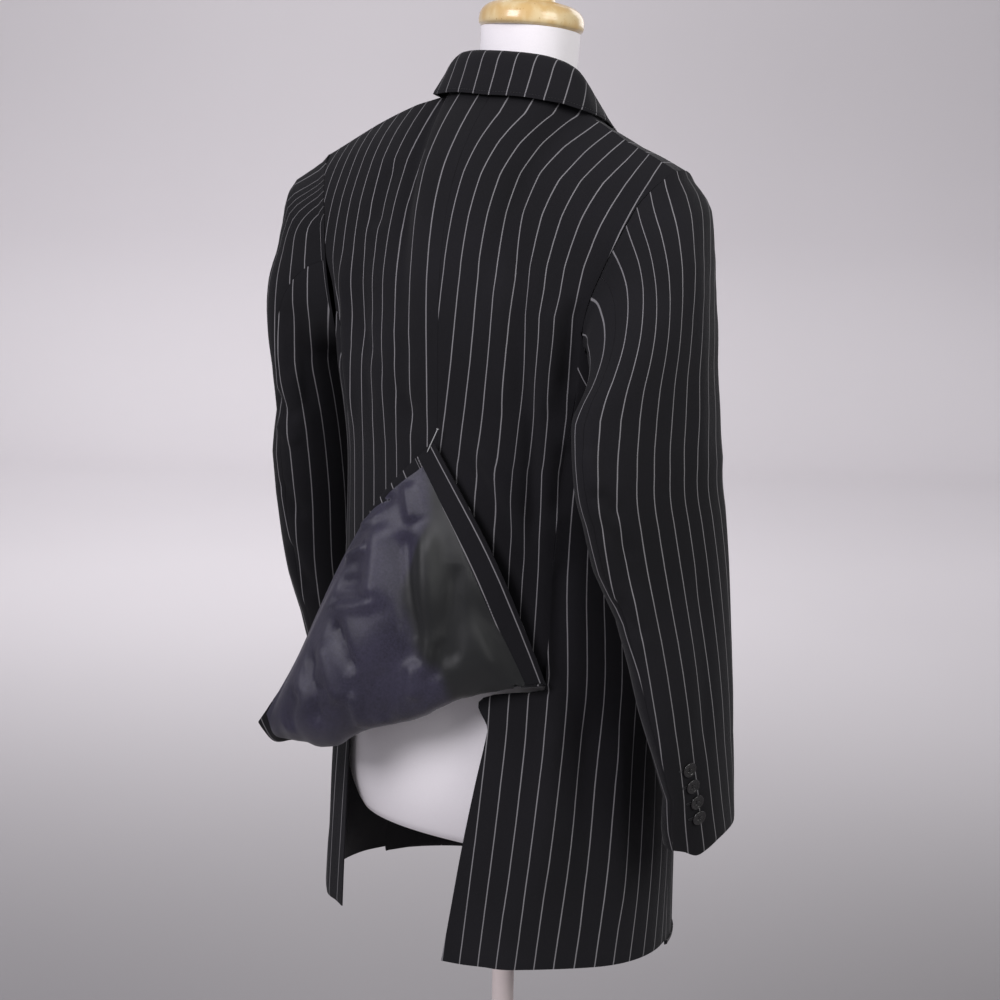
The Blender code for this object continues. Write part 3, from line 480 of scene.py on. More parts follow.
flapInside = {"facing": 0.080, "leftFacing": 0.060, "hemBand": 0.94, "overHem": 0.982, "atPin": 0.958,
              "lift": 0.0027, "blouse": 0.0092, "stripeAt": 0.0052, "thick": 0.0009, "under": 0.012,
              "soft": 0.0026, "dipAt": 0.36, "dipWide": 0.11, "dipDeep": 0.9}
liningFolds = mm(
    (22, 168, 1060, -4, 188, 948, 10, -12.3), (49, 166, 1066, 40, 192, 975, 15, 9.9),
    (101, 184, 973, 33, 188, 989, 4, -4.9), (98, 187, 966, 34, 190, 982, 6, 4.9),
    (-6, 162, 1074, -23, 182, 905, 12, 9.9), (-39, 165, 1033, -44, 176, 924, 7, -7.4),
    (88, 193, 957, 58, 202, 908, 7, -12.3), (112, 198, 920, 104, 205, 847, 7, -9.9),
    (98, 198, 933, 76, 204, 871, 8, 7.4), (129, 206, 875, 145, 204, 835, 7, -7.4),
    (78, 166, 1055, 49, 164, 1072, 5, 4.9), (66, 161, 1081, 39, 161, 1090, 5, -4.9),
    (27, 196, 914, 36, 190, 857, 9, -9.9), (-4, 189, 930, -3, 186, 886, 9, 7.4), (62, 203, 889, 61, 192, 842, 7, 7.4),
    (89, 173, 1020, 56, 173, 1037, 6, 6.2), (25, 157, 1110, 8, 165, 1067, 8, 7.4),
    (90, 181, 994, 54, 184, 1003, 5, -3.8), (127, 201, 894, 91, 207, 883, 6, -4.9),
    (-34, 179, 953, -26, 182, 908, 7, -7.4),
)


def insideCloth(node, shares, starts, ends, count, material, rise=0.0, shift=0.0, soft=0.0003, **more):
    dense, knots = np.linspace(0, 1, 201), np.linspace(0, 1, 23)
    rows = smoothRows(flapSteps, flapGrid(knots, flapSteps), dense)
    lines = smoothRows(knots, rows.transpose(1, 0, 2), shares)
    starts, ends = (np.broadcast_to(edge, len(shares)) for edge in (starts, ends))
    grid = np.stack([readAt(np.linspace(start, end, count), dense, line)
                     for line, start, end in zip(lines, starts, ends)], axis=1)
    sign = facing(grid[int(count * 0.55):int(count * 0.9)], (0, 1, 0))
    place = clothPlace(grid) + (shift, 0)
    return makeCloth(node, grid, place, sign, material, material, ("back_left", "back_right"), "folded",
                     soft=soft, thick=flapInside["thick"], lift=flapInside["lift"] + rise, **more)


def makeFlapInside(wool, satin):
    first, last = flapInside["facing"], 1 - flapInside["leftFacing"]
    t = np.linspace(0, 1, 64)
    down = np.linspace(0, 1, 92)[:, None]
    ends = flapInside["atPin"] + (flapInside["overHem"] - flapInside["atPin"]) * ease(t / 0.30)
    puff = 1 - flapInside["dipDeep"] * np.exp(-((down - flapInside["dipAt"]) / flapInside["dipWide"]) ** 2)
    puff = puff * np.sin(np.pi * t) ** 0.6 * ease(down / 0.16)
    puff = puff * (0.55 + 0.45 * ease((1 - down) / 0.10))  # how full the lining is, with a dip at the flap's fold
    rise = flapInside["blouse"] * puff - 0.0003 + 0.0010 * ease((down - 0.80) / 0.1)
    under = flapInside["under"]
    lining = insideCloth("flap_lining", np.linspace(first - under, last + under, 64), 0.05, ends, 92, satin, rise,
                         folds=liningFolds, soft=flapInside["soft"], floor=flapInside["lift"] - 0.0008,
                         slot="satin_lining")
    # painted shade: a mask for a darker greenish tone on the lining near the facing, where the satin lies flat and
    # catches less light
    shadeEdge = 0.27 * ease((0.94 - down) / 0.46) + 0.012 * np.sin(23 * down)
    flat = ease((shadeEdge - t) / 0.05 + 0.5)
    layer = lining.data.attributes.new("flat", "FLOAT", "POINT")
    layer.data.foreach_set("value", np.concatenate([flat.ravel()] * 2).astype(np.float32))
    stripe = flapInside["stripeAt"]
    insideCloth("vent_facing_right", np.linspace(0.0, first, 10), 0.04, 0.998, 96, wool, 0.0002, -stripe)
    insideCloth("vent_facing_left", np.linspace(last, 1.0, 8), 0.04, 0.998, 96, wool, 0.0002, stripe)
    insideCloth("flap_hem", np.linspace(first, last, 60), flapInside["hemBand"], 0.999, 8, wool)


# side bodies

vent = {"levels": (0.898, 0.890, 0.850, 0.790, 0.720, 0.650), "dips": (0.0050, 0.0046, 0.0036), "edge": 0.994,
        "dipFrom": ventTop - 0.004, "reachFrom": ventTop - 0.009}


def sideGrid(right):
    shares = np.linspace(1, 3, 7)
    hole = armhole(right, sideSteps)
    rows = [hole, (ringPoints(yoke, shares, right) + hole) / 2]
    rows += [ringPoints(z, shares, right) for z in (*levelsAboveVent, *vent["levels"], hem)]
    grid = []
    for row in trim(np.array(rows), joint / 2, joint / 2, joint):
        z, step = row[0][2], unit(row[1] - row[0])
        added, spots = row[0] + step * [[0.0], [0.002], [0.004]], [1.0] * 3
        if z < vent["reachFrom"]:  # under the back
            run = underlap[right] / np.linalg.norm(ringPoints(z, [0.5], right)[0] - row[0]) * 0.5
            spots = [1 - run, 1 - run / 2, vent["edge"]]
            added = ringPoints(z, spots, right)
        if z < vent["dipFrom"]:
            added = added - ringNormals(z, spots, right) * np.array(vent["dips"])[:, None]
        grid.append(np.concatenate([added, [row[0] + step * 0.009], row[1:]]))
    return np.array(grid)


def makeSides(wool, satin):
    for right in sides:
        grid = refine(sideGrid(right), jacket["cell"])
        place = clothPlace(grid, rowAt(grid, yoke), grid.shape[1] // 2)
        sign = facing(grid, (sideOf(right), 0, 0))
        makeCloth("side_" + sideName(right), grid, place, sign, wool, satin, folds=bodyFolds)


# fronts and lapels

front = {"breakPoint": 1.120, "overlap": 0.15, "underlay": 0.0034, "plumbFrom": 0.86, "lean": 0.06,
         "cornerHigh": 0.085, "cornerWide": 0.62, "underFrom": 1.275,
         "levels": (0.850, 0.790, 0.720, 0.660, 0.625, 0.600, 0.584)}
rollLine = mm((8, -162.5, 1215), (40, -146, 1320), (66, -100, 1420), (81, -40, 1482), (84, 10, 1500))
lapel = {"lowRow": {True: 9.2, False: 11.2}, "highRow": 3.1, "narrow": 0.004, "grows": 0.086, "curve": 1.6,
         "start": 0.0008, "cell": 0.004, "soft": 0.0003, "lift": 0.0039}


def edgeShare(level):  # where the front's edge runs, with its lower corner cut away
    middle = 5.0 + front["overlap"]
    if level >= front["breakPoint"]:
        above = (level - front["breakPoint"]) / (yoke - front["breakPoint"])
        return middle - (front["overlap"] + front["lean"]) * above
    corner = float(np.clip((level - hem) / front["cornerHigh"], 0, 1))
    return middle - front["cornerWide"] * (1 - np.sqrt(1 - (1 - corner) ** 2))


def frontGrid(right):
    seam, top = sideBorder(right, 3.0, frontSteps), shoulder(right)[::-1]
    share = np.linspace(0, 1, len(top))

    def across(level):  # from the side seam to the front's edge
        return ringPoints(level, 3.0 + (edgeShare(level) - 3.0) * share, right)

    bottom = across(yoke)
    roll = rollLine * (sideOf(right), 1, 1)
    roll[0] = bottom[-1]
    upper = patch(bottom, top, seam, along(roll, sharesOf(seam)))
    lower = np.array([across(z) for z in (*levelsAboveVent[1:], *front["levels"], hem)])
    grid = np.concatenate([upper, lower])
    if right:  # it lies under the left front
        under = ease((share - 0.50) / 0.30)[None, :, None] * ease((front["underFrom"] - grid[:, :, 2:3]) / 0.06)
        grid = grid - gridNormals(grid) * facing(lower, (0, -1, 0)) * front["underlay"] * under
    return grid


def plumbBelow(grid, place, level, side):  # under a level the stripes hang straight down into the hem
    row = rowAt(grid, level)
    angle = np.arctan2(side * grid[..., 0], 0.02 - grid[..., 1])
    order = np.argsort(angle[row])
    known, across = angle[row][order], place[row, order, 0]
    first = (across[4] - across[0]) / (known[4] - known[0])
    last = (across[-1] - across[-5]) / (known[-1] - known[-5])
    known = np.concatenate([[known[0] - 0.5], known, [known[-1] + 0.5]])
    across = np.concatenate([[across[0] - 0.5 * first], across, [across[-1] + 0.5 * last]])
    place[row + 1:, :, 0] = np.interp(angle[row + 1:], known, across)


def makeFronts(wool, satin):
    for right in sides:
        grid = refine(trim(frontGrid(right), joint / 2, top=joint / 2), jacket["cell"])
        place = clothPlace(grid, rowAt(grid, yoke), grid.shape[1] - 1)
        plumbBelow(grid, place, front["plumbFrom"], sideOf(right))
        sign = facing(grid, (0, -1, 0))
        makeCloth("front_" + sideName(right), grid, place, sign, wool, satin, folds=bodyFolds)


def makeLapels(wool):
    for right in sides:
        rows, grid = frontGrid(right), []
        low, high = lapel["lowRow"][right], lapel["highRow"]
        for rise in np.arange(14) / 13:
            width = lapel["narrow"] + lapel["grows"] * (1 - (1 - rise) ** lapel["curve"])
            k, mix = divmod(low - (low - high) * rise, 1)
            line = (rows[int(k)] * (1 - mix) + rows[int(k) + 1] * mix)[::-1]
            grid.append(readAt(np.linspace(lapel["start"], width, 6), runOf(line), line))
        grid = refine(np.array(grid), lapel["cell"])
        makeCloth("lapel_" + sideName(right), grid, clothPlace(grid), facing(grid, (0, -1, 0)), wool, wool,
                  ("front_left", "front_right"), "folded", soft=lapel["soft"], lift=lapel["lift"])


# collar: its stand's foot, its fold and its fall's edge, from the back's centre to the left

collarRows = mm(
    ((0, 49.4, 1511.6), (0, 40, 1551), (0, 66, 1506.5)), ((34, 45.4, 1511.6), (31, 36, 1550), (41, 61, 1506.5)),
    ((63, 31.8, 1509), (56.5, 23.5, 1546), (77, 45, 1502)), ((82, 9.5, 1504.5), (73, 4, 1535), (98.5, 16, 1497.5)),
    ((82, -20, 1494.5), (73, -26, 1508), (99.5, -20, 1487.3)),
    ((82, -45, 1478), (73, -51, 1483), (99.5, -52, 1466.2)), ((79, -66, 1464), (72, -72, 1464), (96, -79, 1445)),
)
collar = {"roll": 0.0042, "rollShare": 0.45, "bow": 0.0022, "standBow": 0.0008, "stripeAt": 0.2, "soft": 0.0004}


def makeCollar(wool):
    half, last = [], len(collarRows) - 1
    for foot, fold, fall in smoothRows(np.arange(last + 1), collarRows, np.linspace(0, last, 15)):
        inward = unit((foot - fall) * (1, 1, 0))
        lean = min(collar["roll"], collar["rollShare"] * np.linalg.norm(fold - foot))
        half.append([foot, (foot + fold) * 0.5 + inward * collar["standBow"],
                     fold + inward * lean * 0.9 - (0, 0, lean * 1.1), fold + inward * lean * 0.35,
                     fold - inward * lean * 0.65 - (0, 0, lean * 0.25),
                     fold * 0.86 + fall * 0.14 - inward * lean * 0.9,
                     (fold + fall) * 0.5 - inward * collar["bow"], fall])
    half = np.array(half)
    grid = refine(np.concatenate([half[::-1][:-1] * (-1, 1, 1), half]).transpose(1, 0, 2), jacket["fineCell"])
    middle = grid.shape[1] // 2
    place = clothPlace(grid, 0, middle) + (jacket["stripe"] * collar["stripeAt"], 0)
    sign = facing(grid[-5:, middle - 2:middle + 3], (0, 1, 0))
    makeCloth("collar", grid, place, sign, wool, wool, ("back_left", "back_right"), "folded",
              soft=collar["soft"])


# sleeves: level, x and y, how wide and deep, and its turn in degrees

sleeveTables = {
    True: ((1.205, -0.228, 0.102, 0.041, 0.096, 8), (1.14, -0.226, 0.11, 0.043, 0.097, 8),
           (1.06, -0.232, 0.096, 0.045, 0.094, 8), (0.96, -0.242, 0.076, 0.043, 0.089, 4),
           (0.85, -0.25, 0.046, 0.037, 0.082, 0), (0.738, -0.252, 0.006, 0.031, 0.062, -2)),
    False: ((1.205, 0.2495, 0.014, 0.045, 0.092, 0), (1.14, 0.25, 0, 0.049, 0.094, 0),
            (1.06, 0.25, -0.014, 0.048, 0.09, 0), (0.96, 0.258, -0.036, 0.043, 0.082, 0),
            (0.85, 0.266, -0.072, 0.037, 0.074, 2), (0.738, 0.271, -0.11, 0.031, 0.067, 4)),
}
sleeve = {"hinge": (0.168, 1.205), "head": {True: 0.003, False: 0.016}, "start": 0.0006, "clear": 0.0028,
          "hindarm": 5, "inseam": 15, "nudgeWay": (-0.8387, -0.5446, 0.0), "cuffFrom": 0.80,
          "headTurns": (0, 5, 12, 20, 30, 42, 56, 72)}
sleeveFolds = mm(
    (-225, 198, 1196, -255, 165, 1019, 12, -5.4), (-219, 206, 1140, -246, 183, 1110, 7, -4.1),
    (-223, 200, 1110, -255, 165, 1067, 8, -3.4), (-214, 205, 1179, -229, 201, 1131, 9, 4.1),
    (-247, 67, 1368, -277, 87, 1140, 16, 2.7), (-211, 89, 1380, -251, 166, 1205, 14, -2.7),
    (-256, 162, 989, -272, 118, 855, 10, -2.7), (-236, 177, 1028, -262, 156, 984, 8, -4.1),
    (-282, 95, 1058, -285, 67, 842, 14, -2.7), (-250, 10, 1130, -220, 20, 1090, 9, -4.1),
    (-250, 10, 1060, -224, 0, 1030, 9, -3.4), (260, 90, 1174, 229, 86, 1144, 8, -5.4),
    (256, 88, 1140, 233, 83, 1114, 8, 4.1), (235, 102, 1276, 232, 97, 1188, 10, -4.1),
    (214, 101, 1278, 220, 76, 1144, 10, -4.1), (267, 60, 997, 252, 31, 924, 10, -4.1),
    (259, 80, 1071, 240, 63, 1023, 8, -3.4), (262, -100, 1080, 240, -110, 1030, 10, -4.1),
)
# how far each sleeve leaves its plain tube, by level, on its two sides as seen from behind
sleeveNudge = {
    True: (mm((730, -3.8), (760, -3.2), (800, -1.7), (850, -0.7), (900, 2.9), (950, 5.6), (1000, 7.5), (1050, 9.2),
              (1100, 11.5), (1150, 11.6), (1200, 4), (1250, -3.7), (1300, -9.1), (1330, -8), (1360, -1.9),
              (1380, 5.5), (1400, 15), (1420, 17.5), (1440, 3.3)),
           mm((730, -10.8), (760, -2.1), (800, 16), (850, 18.7), (900, 18), (950, 20.5), (1000, 19.9), (1050, 6.9),
              (1100, 5.2), (1150, -2.1), (1200, -10.8), (1250, -9), (1300, -4), (1330, 0))),
    False: (mm((730, 0), (1440, 0)),
            mm((850, -4.4), (900, -3.5), (950, -7), (1000, -7.2), (1050, -6.4), (1100, -2.3), (1150, 9.5),
               (1200, 8.7), (1250, 2.9), (1300, -4.1), (1330, -6.3), (1360, -17.9), (1380, -31), (1400, -42),
               (1440, -44))),
}
# how far the right cuff's edge drops or rises, across it as the photo shows it
cuffSlant = mm((160, 0), (185, -2), (199, -7), (212, -2), (224, 4), (235, 7), (250, 8))


def sleeveOval(row, right, steps):
    level, x, y, wide, deep, tilt = row
    at = 2 * np.pi * np.asarray(steps) / 12
    out, back = wide * np.cos(at), deep * np.sin(at)
    c, n = np.cos(np.radians(tilt)), np.sin(np.radians(tilt))
    aside, deeper = out * c - back * n, out * n + back * c
    return np.stack([x + sideOf(right) * aside, y + deeper, np.full_like(at, level)], axis=-1)


def sleeveAt(right, level, steps):
    table = sleeveTables[right]
    return sleeveOval(smoothRows([-row[0] for row in table], table, -level)[0], right, steps)


def sleeveGrid(right):
    s, (hingeX, hingeZ) = sideOf(right), sleeve["hinge"]
    steps = np.concatenate([backSteps[::-1], sideSteps[1:], frontSteps[1:-1]])
    hole = armhole(right, steps)
    oval = sleeveOval(sleeveTables[right][0], right, steps)
    rise, out = hole[:, 2] - hingeZ, s * hole[:, 0] - hingeX
    reach = s * oval[:, 0] - hingeX
    full = np.maximum(0, np.cos(2 * np.pi * steps / 12)) ** 0.5
    under = np.maximum(0, -np.cos(2 * np.pi * steps / 12))
    rows = []
    for angle in np.radians(sleeve["headTurns"]):  # the head, turned over the armhole
        b = np.sin(angle) ** (1.3 - 0.55 * full)
        head = sleeve["head"][right] * full * np.sin(2 * angle) ** 0.6 * np.cos(angle)
        radius, side = (1 - b) * rise + b * reach + head, (1 - b) * out
        clear = sleeve["start"] + sleeve["clear"] * under * np.sin(2 * angle)
        rows.append(np.stack([s * (hingeX + radius * np.sin(angle) + side * np.cos(angle) + clear),
                              (1 - b) * hole[:, 1] + b * oval[:, 1],
                              hingeZ + radius * np.cos(angle) - side * np.sin(angle)], axis=-1))
    levels = np.linspace(sleeveTables[right][0][0], sleeveTables[right][-1][0], 13)
    return np.array(rows + [sleeveAt(right, z, steps) for z in levels])


def nudged(grid, right):
    across = np.array(sleeve["nudgeWay"])
    reach = (grid - grid.mean(axis=1, keepdims=True)) @ across
    share = reach / np.abs(reach).max(axis=1, keepdims=True)
    plus, minus = (np.interp(grid[..., 2], *table.T) for table in sleeveNudge[right])
    move = ease(runOf(grid) / 0.035) * (plus * np.maximum(share, 0) + minus * np.maximum(-share, 0))
    return grid + move[..., None] * across


def slanted(fine):
    fine = fine.copy()
    drop = np.interp(fine @ viewAcross, *cuffSlant.T)
    drop = np.where(drop < 0, drop * ease((fine[..., 1] + 0.01) / 0.03), drop)
    fine[..., 2] += drop * ease((sleeve["cuffFrom"] - fine[..., 2]) / 0.05)
    return fine


def sleevePlace(fine, at, biceps, onTop, right):  # flat places on a sleeve, with its stripes along its length
    count, half = fine.shape[1], 80
    loop = np.array([loopPoints(row, np.linspace(0, count, 2 * half + 1)[:-1]) for row in fine])
    v, column = runOf(loop), np.arange(half + 1)
    flats = []
    for atBack, order in ((True, column), (False, -column)):
        flat, spot = runOf(loop[:, order], 1), np.tile(1.0 * column, (biceps, 1))
        if atBack and not right:  # from the outer line round, the stripes hang plumb
            low, high = loop[biceps, :, :2].min(axis=0), loop[biceps, :, :2].max(axis=0)
            way = (loop[:, order, :2] - (low + high) / 2) / ((high - low) / 2)
            angle = np.maximum.accumulate(np.abs(np.arctan2(way[..., 1], way[..., 0])), axis=1)
            turned = np.interp(angle[:biceps], angle[biceps], column)
            full = ease((angle[:biceps].max(axis=1, keepdims=True) - 1.2) / 0.5)
            near = full * ease((column / half * 180 - 20) / 45)
            spot = spot * (1 - near) + turned * near
        flat[:biceps] = np.interp(spot, column, flat[biceps])
        flats.append(flat)
    turns = np.mod(at + count / 2, count) - count / 2
    spots = np.abs(turns) * 2 * half / count
    forward = (turns > 0) | ((turns == -count / 2) & (at <= 10))
    place = np.empty((len(fine), len(at), 2))
    for r, pair in enumerate(zip(*flats)):
        back, ahead = (np.interp(spots, column, flat) - (0 if onTop else flat[-1]) for flat in pair)
        place[r, :, 0] = np.where(forward, back, -ahead)
        place[r, :, 1] = np.interp(np.mod(at, count) * 2 * half / count, np.arange(2 * half), v[r] - v[biceps])
    return place


def makeSleeves(wool, satin):
    for right in sides:
        fine = nudged(refineRows(sleeveGrid(right), jacket["cell"]), right)
        fine = slanted(fine) if right else fine
        biceps = int(np.argmin(abs(fine[:, 3, 2] - sleeve["hinge"][1])))
        hindarm, inseam = sleeve["hindarm"], sleeve["inseam"]
        spans = (("under_sleeve_", hindarm, inseam), ("top_sleeve_", inseam, hindarm + fine.shape[1]))
        for name, first, last in spans:
            at = np.linspace(first, last, int((last - first) * 4.5) + 1)
            grid = trim(np.array([loopPoints(row, at) for row in fine]), joint / 2, joint / 2)
            place = sleevePlace(fine, at, biceps, name == "top_sleeve_", right)
            sign = facing(grid[20:], (grid - fine.mean(axis=1, keepdims=True))[20:])
            makeCloth(name + sideName(right), grid, place, sign, wool, satin, ("side_" + sideName(right),), "hung",
                      folds=sleeveFolds)


# pockets

pocket = {"levels": (0.960, 0.905), "shares": (3.08, 4.12), "lift": 0.0029, "weltLift": 0.0032, "weltHigh": 0.2975}


def makePockets(wool):
    for right in sides:
        shares = np.linspace(*pocket["shares"], 6)
        rows = [ringPoints(z, shares, right) for z in np.linspace(*pocket["levels"], 3)]
        grid = refine(np.array(rows), jacket["fineCell"])
        makeCloth("pocket_flap_" + sideName(right), grid, clothPlace(grid), facing(grid, (0, -1, 0)), wool, wool,
                  ("front_left", "front_right"), soft=0.0002, lift=pocket["lift"])
    piece = frontGrid(False)[5:8, 2:6]
    grid = refine(piece[1] + (piece - piece[1]) * pocket["weltHigh"], jacket["fineCell"])
    makeCloth("breast_welt", grid, clothPlace(grid), facing(grid, (0, -1, 0)), wool, wool, ("front_left",), soft=0.0,
              lift=pocket["weltLift"])


# buttons and the pin: each kind's size and lift, and its hole's lift, place aside, width and height

buttons = {"cuff": (0.0165, 0.0005, (0.0004, -0.004, 0.019, 0.0024)),
           "front": (0.0200, 0.0003, (0.0005, 0.006, 0.026, 0.0030)),
           "cuffPlaces": ((0.8374, 0.107), (0.8172, 0.108), (0.7971, 0.106), (0.7779, 0.111)),
           "frontLevels": (1.095, 0.975, 0.855), "hole": 0.0009, "holeRing": 0.00165, "holeDeep": 0.0013,
           "rings": 26, "around": 40,
           "high": 0.0024, "dish": 0.0007, "thread": 0.00038, "threadAt": 0.0009, "threadArch": 0.0014}
pin = {"head": (-0.0065, 0.1540, 1.168), "point": (0.0040, 0.1585, 1.142)}


def sleeveSpot(right, level, share):
    steps = np.array([share * 12 - 0.1, share * 12, share * 12 + 0.1])
    here, below = sleeveAt(right, level, steps), sleeveAt(right, level - 0.004, steps)
    look = unit(np.cross(here[2] - here[0], below[1] - here[1]))
    return here[1], look * np.sign(look[1] if abs(look[1]) > 0.3 else sideOf(right) * look[0])


def buttonPlaces():  # each button's node, kind, place on the cloth and the way it faces
    for right in sides:
        for k, spot in enumerate(buttons["cuffPlaces"]):
            yield (f"cuff_button_{sideName(right)}_{k + 1}", "cuff", *sleeveSpot(right, *spot))
    for k, level in enumerate(buttons["frontLevels"]):
        look = ringNormals(level, [5.0])[0]
        yield f"front_button_{k + 1}", "front", ringPoints(level, [5.0])[0], look * -np.sign(look[1])


def makeButton(node, size, centre, look, horn, thread):
    count, turns, h = buttons["rings"], buttons["around"], buttons["holeRing"]
    s, a = np.meshgrid(np.linspace(0, 1, count), 2 * np.pi * np.arange(turns) / turns, indexing="ij")
    x, y = size / 2 * s * np.cos(a), size / 2 * s * np.sin(a)
    rim = buttons["high"] - buttons["dish"] * (1 - ease((s - 0.62) / 0.14)) - 0.1 * np.maximum(0.0, s - 0.9) ** 2
    pit = np.minimum(np.hypot(abs(x) - h, abs(y) - h) / buttons["hole"], 1.0)
    top = rim - buttons["holeDeep"] * (1 - ease((pit - 0.55) / 0.45))
    points = [*np.stack([x, y, top], axis=-1).reshape(-1, 3)]
    for share, height in ((0.98, 0.0008), (0.80, 0.0)):
        points += [*ringOf(size / 2 * share, height, a[0])]
    faces = []
    for low in range(0, (count - 1) * turns, turns):
        faces += [quad[:1] + quad[:0:-1] for quad in band(low, low + turns, turns)]
    edge, base = (count - 1) * turns, count * turns
    faces += band(base, edge, turns) + band(base + turns, base, turns)
    faces.append([base + turns + k for k in range(turns)][::-1])
    hornFaces, t, a = len(faces), np.arange(5)[:, None] / 4, 2 * np.pi * np.arange(6) / 6
    for way in (1, -1):  # two crossed threads
        first, out = len(points), buttons["thread"] * np.cos(a) * 2 / 2.83
        rise = buttons["threadAt"] + buttons["threadArch"] * np.sin(np.pi * t) ** 0.5 + buttons["thread"] * np.sin(a)
        run = h * (2 * t - 1)
        points += [*np.stack([run - way * out, way * run + out, rise], axis=-1).reshape(-1, 3)]
        for end in range(4):
            faces += band(first + end * 6, first + end * 6 + 6, 6)
        faces += [tuple(range(first + 5, first - 1, -1)), tuple(range(first + 24, first + 30))]
    points = placed(points, centre, look, np.cross((0.0, 0.0, 1.0), look))
    thing = addMesh(node + "_horn", points, faces, [horn, thread], np.arange(len(faces)) >= hornFaces)
    standFor(thing, "button_black", node)


def makeButtons(horn, thread):
    for node, kind, point, look in buttonPlaces():
        size, lift, _ = buttons[kind]
        makeButton(node, size, point + look * lift, look, horn, thread)


def makePin(steel):
    head, low = np.array(pin["head"]), np.array(pin["point"])
    size = float(np.linalg.norm(head - low))
    profile = ((0, 0), (0.0003, 0.0015), (0.0006, 0.004), (0.0006, size - 0.0014), (0.0009, size - 0.0011),
               (0.0014, size - 0.0007), (0.0015, size), (0.0010, size + 0.0005), (0, size + 0.0007))
    standFor(lathe("pin_steel_wire", profile, steel, 20, low, unit(head - low)), "pin_steel", "pin")


# node trees

class Nodes:  # a node tree, with short ways to fill it
    def __init__(self, tree):
        self.tree = tree

    def feed(self, sockets, values):  # links, colours and plain values, by the sockets' names
        for key, value in values.items():
            if isinstance(value, bpy.types.NodeSocket):
                self.tree.links.new(value, sockets[key])
            else:
                sockets[key].default_value = (*value, 1.0) if sockets[key].type == "RGBA" else value

    def add(self, kind, inputs={}, **settings):
        node = self.tree.nodes.new(kind)
        for name, value in settings.items():
            setattr(node, name, value)
        self.feed(node.inputs, inputs)
        return node.outputs

    def calc(self, operation, *values):
        return self.add("ShaderNodeMath", dict(enumerate(values)), operation=operation)[0]

    def mix(self, factor, one, two):
        return self.add("ShaderNodeMix", {0: factor, 6: one, 7: two}, data_type="RGBA")[2]

    def noise(self, vector, scale, detail=2.0):
        return self.add("ShaderNodeTexNoise", {"Vector": vector, "Scale": scale, "Detail": detail})[0]

    def step(self, value, start, end):
        inputs = {"Value": value, "From Min": start, "From Max": end}
        return self.add("ShaderNodeMapRange", inputs, interpolation_type="SMOOTHSTEP")[0]

    def split(self, vector):
        return self.add("ShaderNodeSeparateXYZ", {0: vector})

    def bump(self, height, distance, strength=0.6):
        return self.add("ShaderNodeBump", {"Height": height, "Distance": distance, "Strength": strength})[0]


def newGroup(name, inputs, outputs, kind="ShaderNodeTree"):
    tree = bpy.data.node_groups.new(name, kind)
    for label, (socketKind, value) in inputs.items():
        socket = tree.interface.new_socket(label, in_out="INPUT", socket_type="NodeSocket" + socketKind)
        if value is not None:
            socket.default_value = (*value, 1.0) if socketKind == "Color" else value
    for label, socketKind in outputs.items():
        tree.interface.new_socket(label, in_out="OUTPUT", socket_type="NodeSocket" + socketKind)
    nodes = Nodes(tree)
    return nodes, nodes.add("NodeGroupInput")


# stitches

stitch = {"length": 0.0021, "pitch": 0.0034, "thick": 0.00026}
holeStitch = {"length": 0.0019, "pitch": 0.0010, "thick": 0.00042}
lapelHole = {"down": 0.86, "across": 0.62, "lift": 0.0003, "wide": 0.022, "high": 0.0026}


def stitchTree(thread):
    sizes = {"Length": ("Float", stitch["length"]), "Pitch": ("Float", stitch["pitch"]),
             "Thickness": ("Float", stitch["thick"])}
    nodes, given = newGroup("sewn_stitches", {"Geometry": ("Geometry", None), **sizes}, {"Geometry": "Geometry"},
                            "GeometryNodeTree")
    line = nodes.add("GeometryNodeMeshToCurve", {"Mesh": given["Geometry"]})[0]
    spots = nodes.add("GeometryNodeResampleCurve", {"Curve": line, "Length": given["Pitch"]}, mode="LENGTH")[0]
    bead = nodes.add("GeometryNodeMeshUVSphere", {"Segments": 6, "Rings": 4, "Radius": 1.0})["Mesh"]
    tangent = nodes.add("GeometryNodeInputTangent")[0]
    turned = nodes.add("FunctionNodeAlignRotationToVector", {"Vector": tangent}, axis="Z")[0]
    half = nodes.calc("MULTIPLY", given["Length"], 0.5)
    size = nodes.add("ShaderNodeCombineXYZ", {0: given["Thickness"], 1: given["Thickness"], 2: half})[0]
    placing = {"Points": spots, "Instance": bead, "Rotation": turned, "Scale": size}
    real = nodes.add("GeometryNodeRealizeInstances", {0: nodes.add("GeometryNodeInstanceOnPoints", placing)[0]})[0]
    nodes.add("NodeGroupOutput", {0: nodes.add("GeometryNodeSetMaterial", {"Geometry": real, "Material": thread})[0]})
    return nodes.tree


def makeStitches(name, tree, lines, sizes):
    points, edges = np.concatenate(lines), []
    for line in lines:
        first = edges[-1][1] + 1 if edges else 0
        edges += [(first + k, first + k + 1) for k in range(len(line) - 1)]
    mesh = bpy.data.meshes.new(name)
    mesh.from_pydata(points.tolist(), edges, [])
    guide = addObject(name + "_guide", mesh)
    sewing = guide.modifiers.new("stitches", "NODES")
    sewing.node_group = tree
    sockets = {item.name: item.identifier for item in tree.interface.items_tree if item.in_out == "INPUT"}
    for label, key in (("Length", "length"), ("Pitch", "pitch"), ("Thickness", "thick")):
        sewing[sockets[label]] = sizes[key]
    made = bpy.data.meshes.new_from_object(guide.evaluated_get(bpy.context.evaluated_depsgraph_get()))
    bpy.data.objects.remove(guide)
    made.name = name
    made.polygons.foreach_set("use_smooth", np.ones(len(made.polygons), bool))
    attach(addObject(name, made), "root")


def lineOn(node, rows, columns, lift=0.0002):  # a sewn line through a piece's grid
    grid, normals = madeGrids[node]
    return grid[rows, columns] + normals[rows, columns] * lift


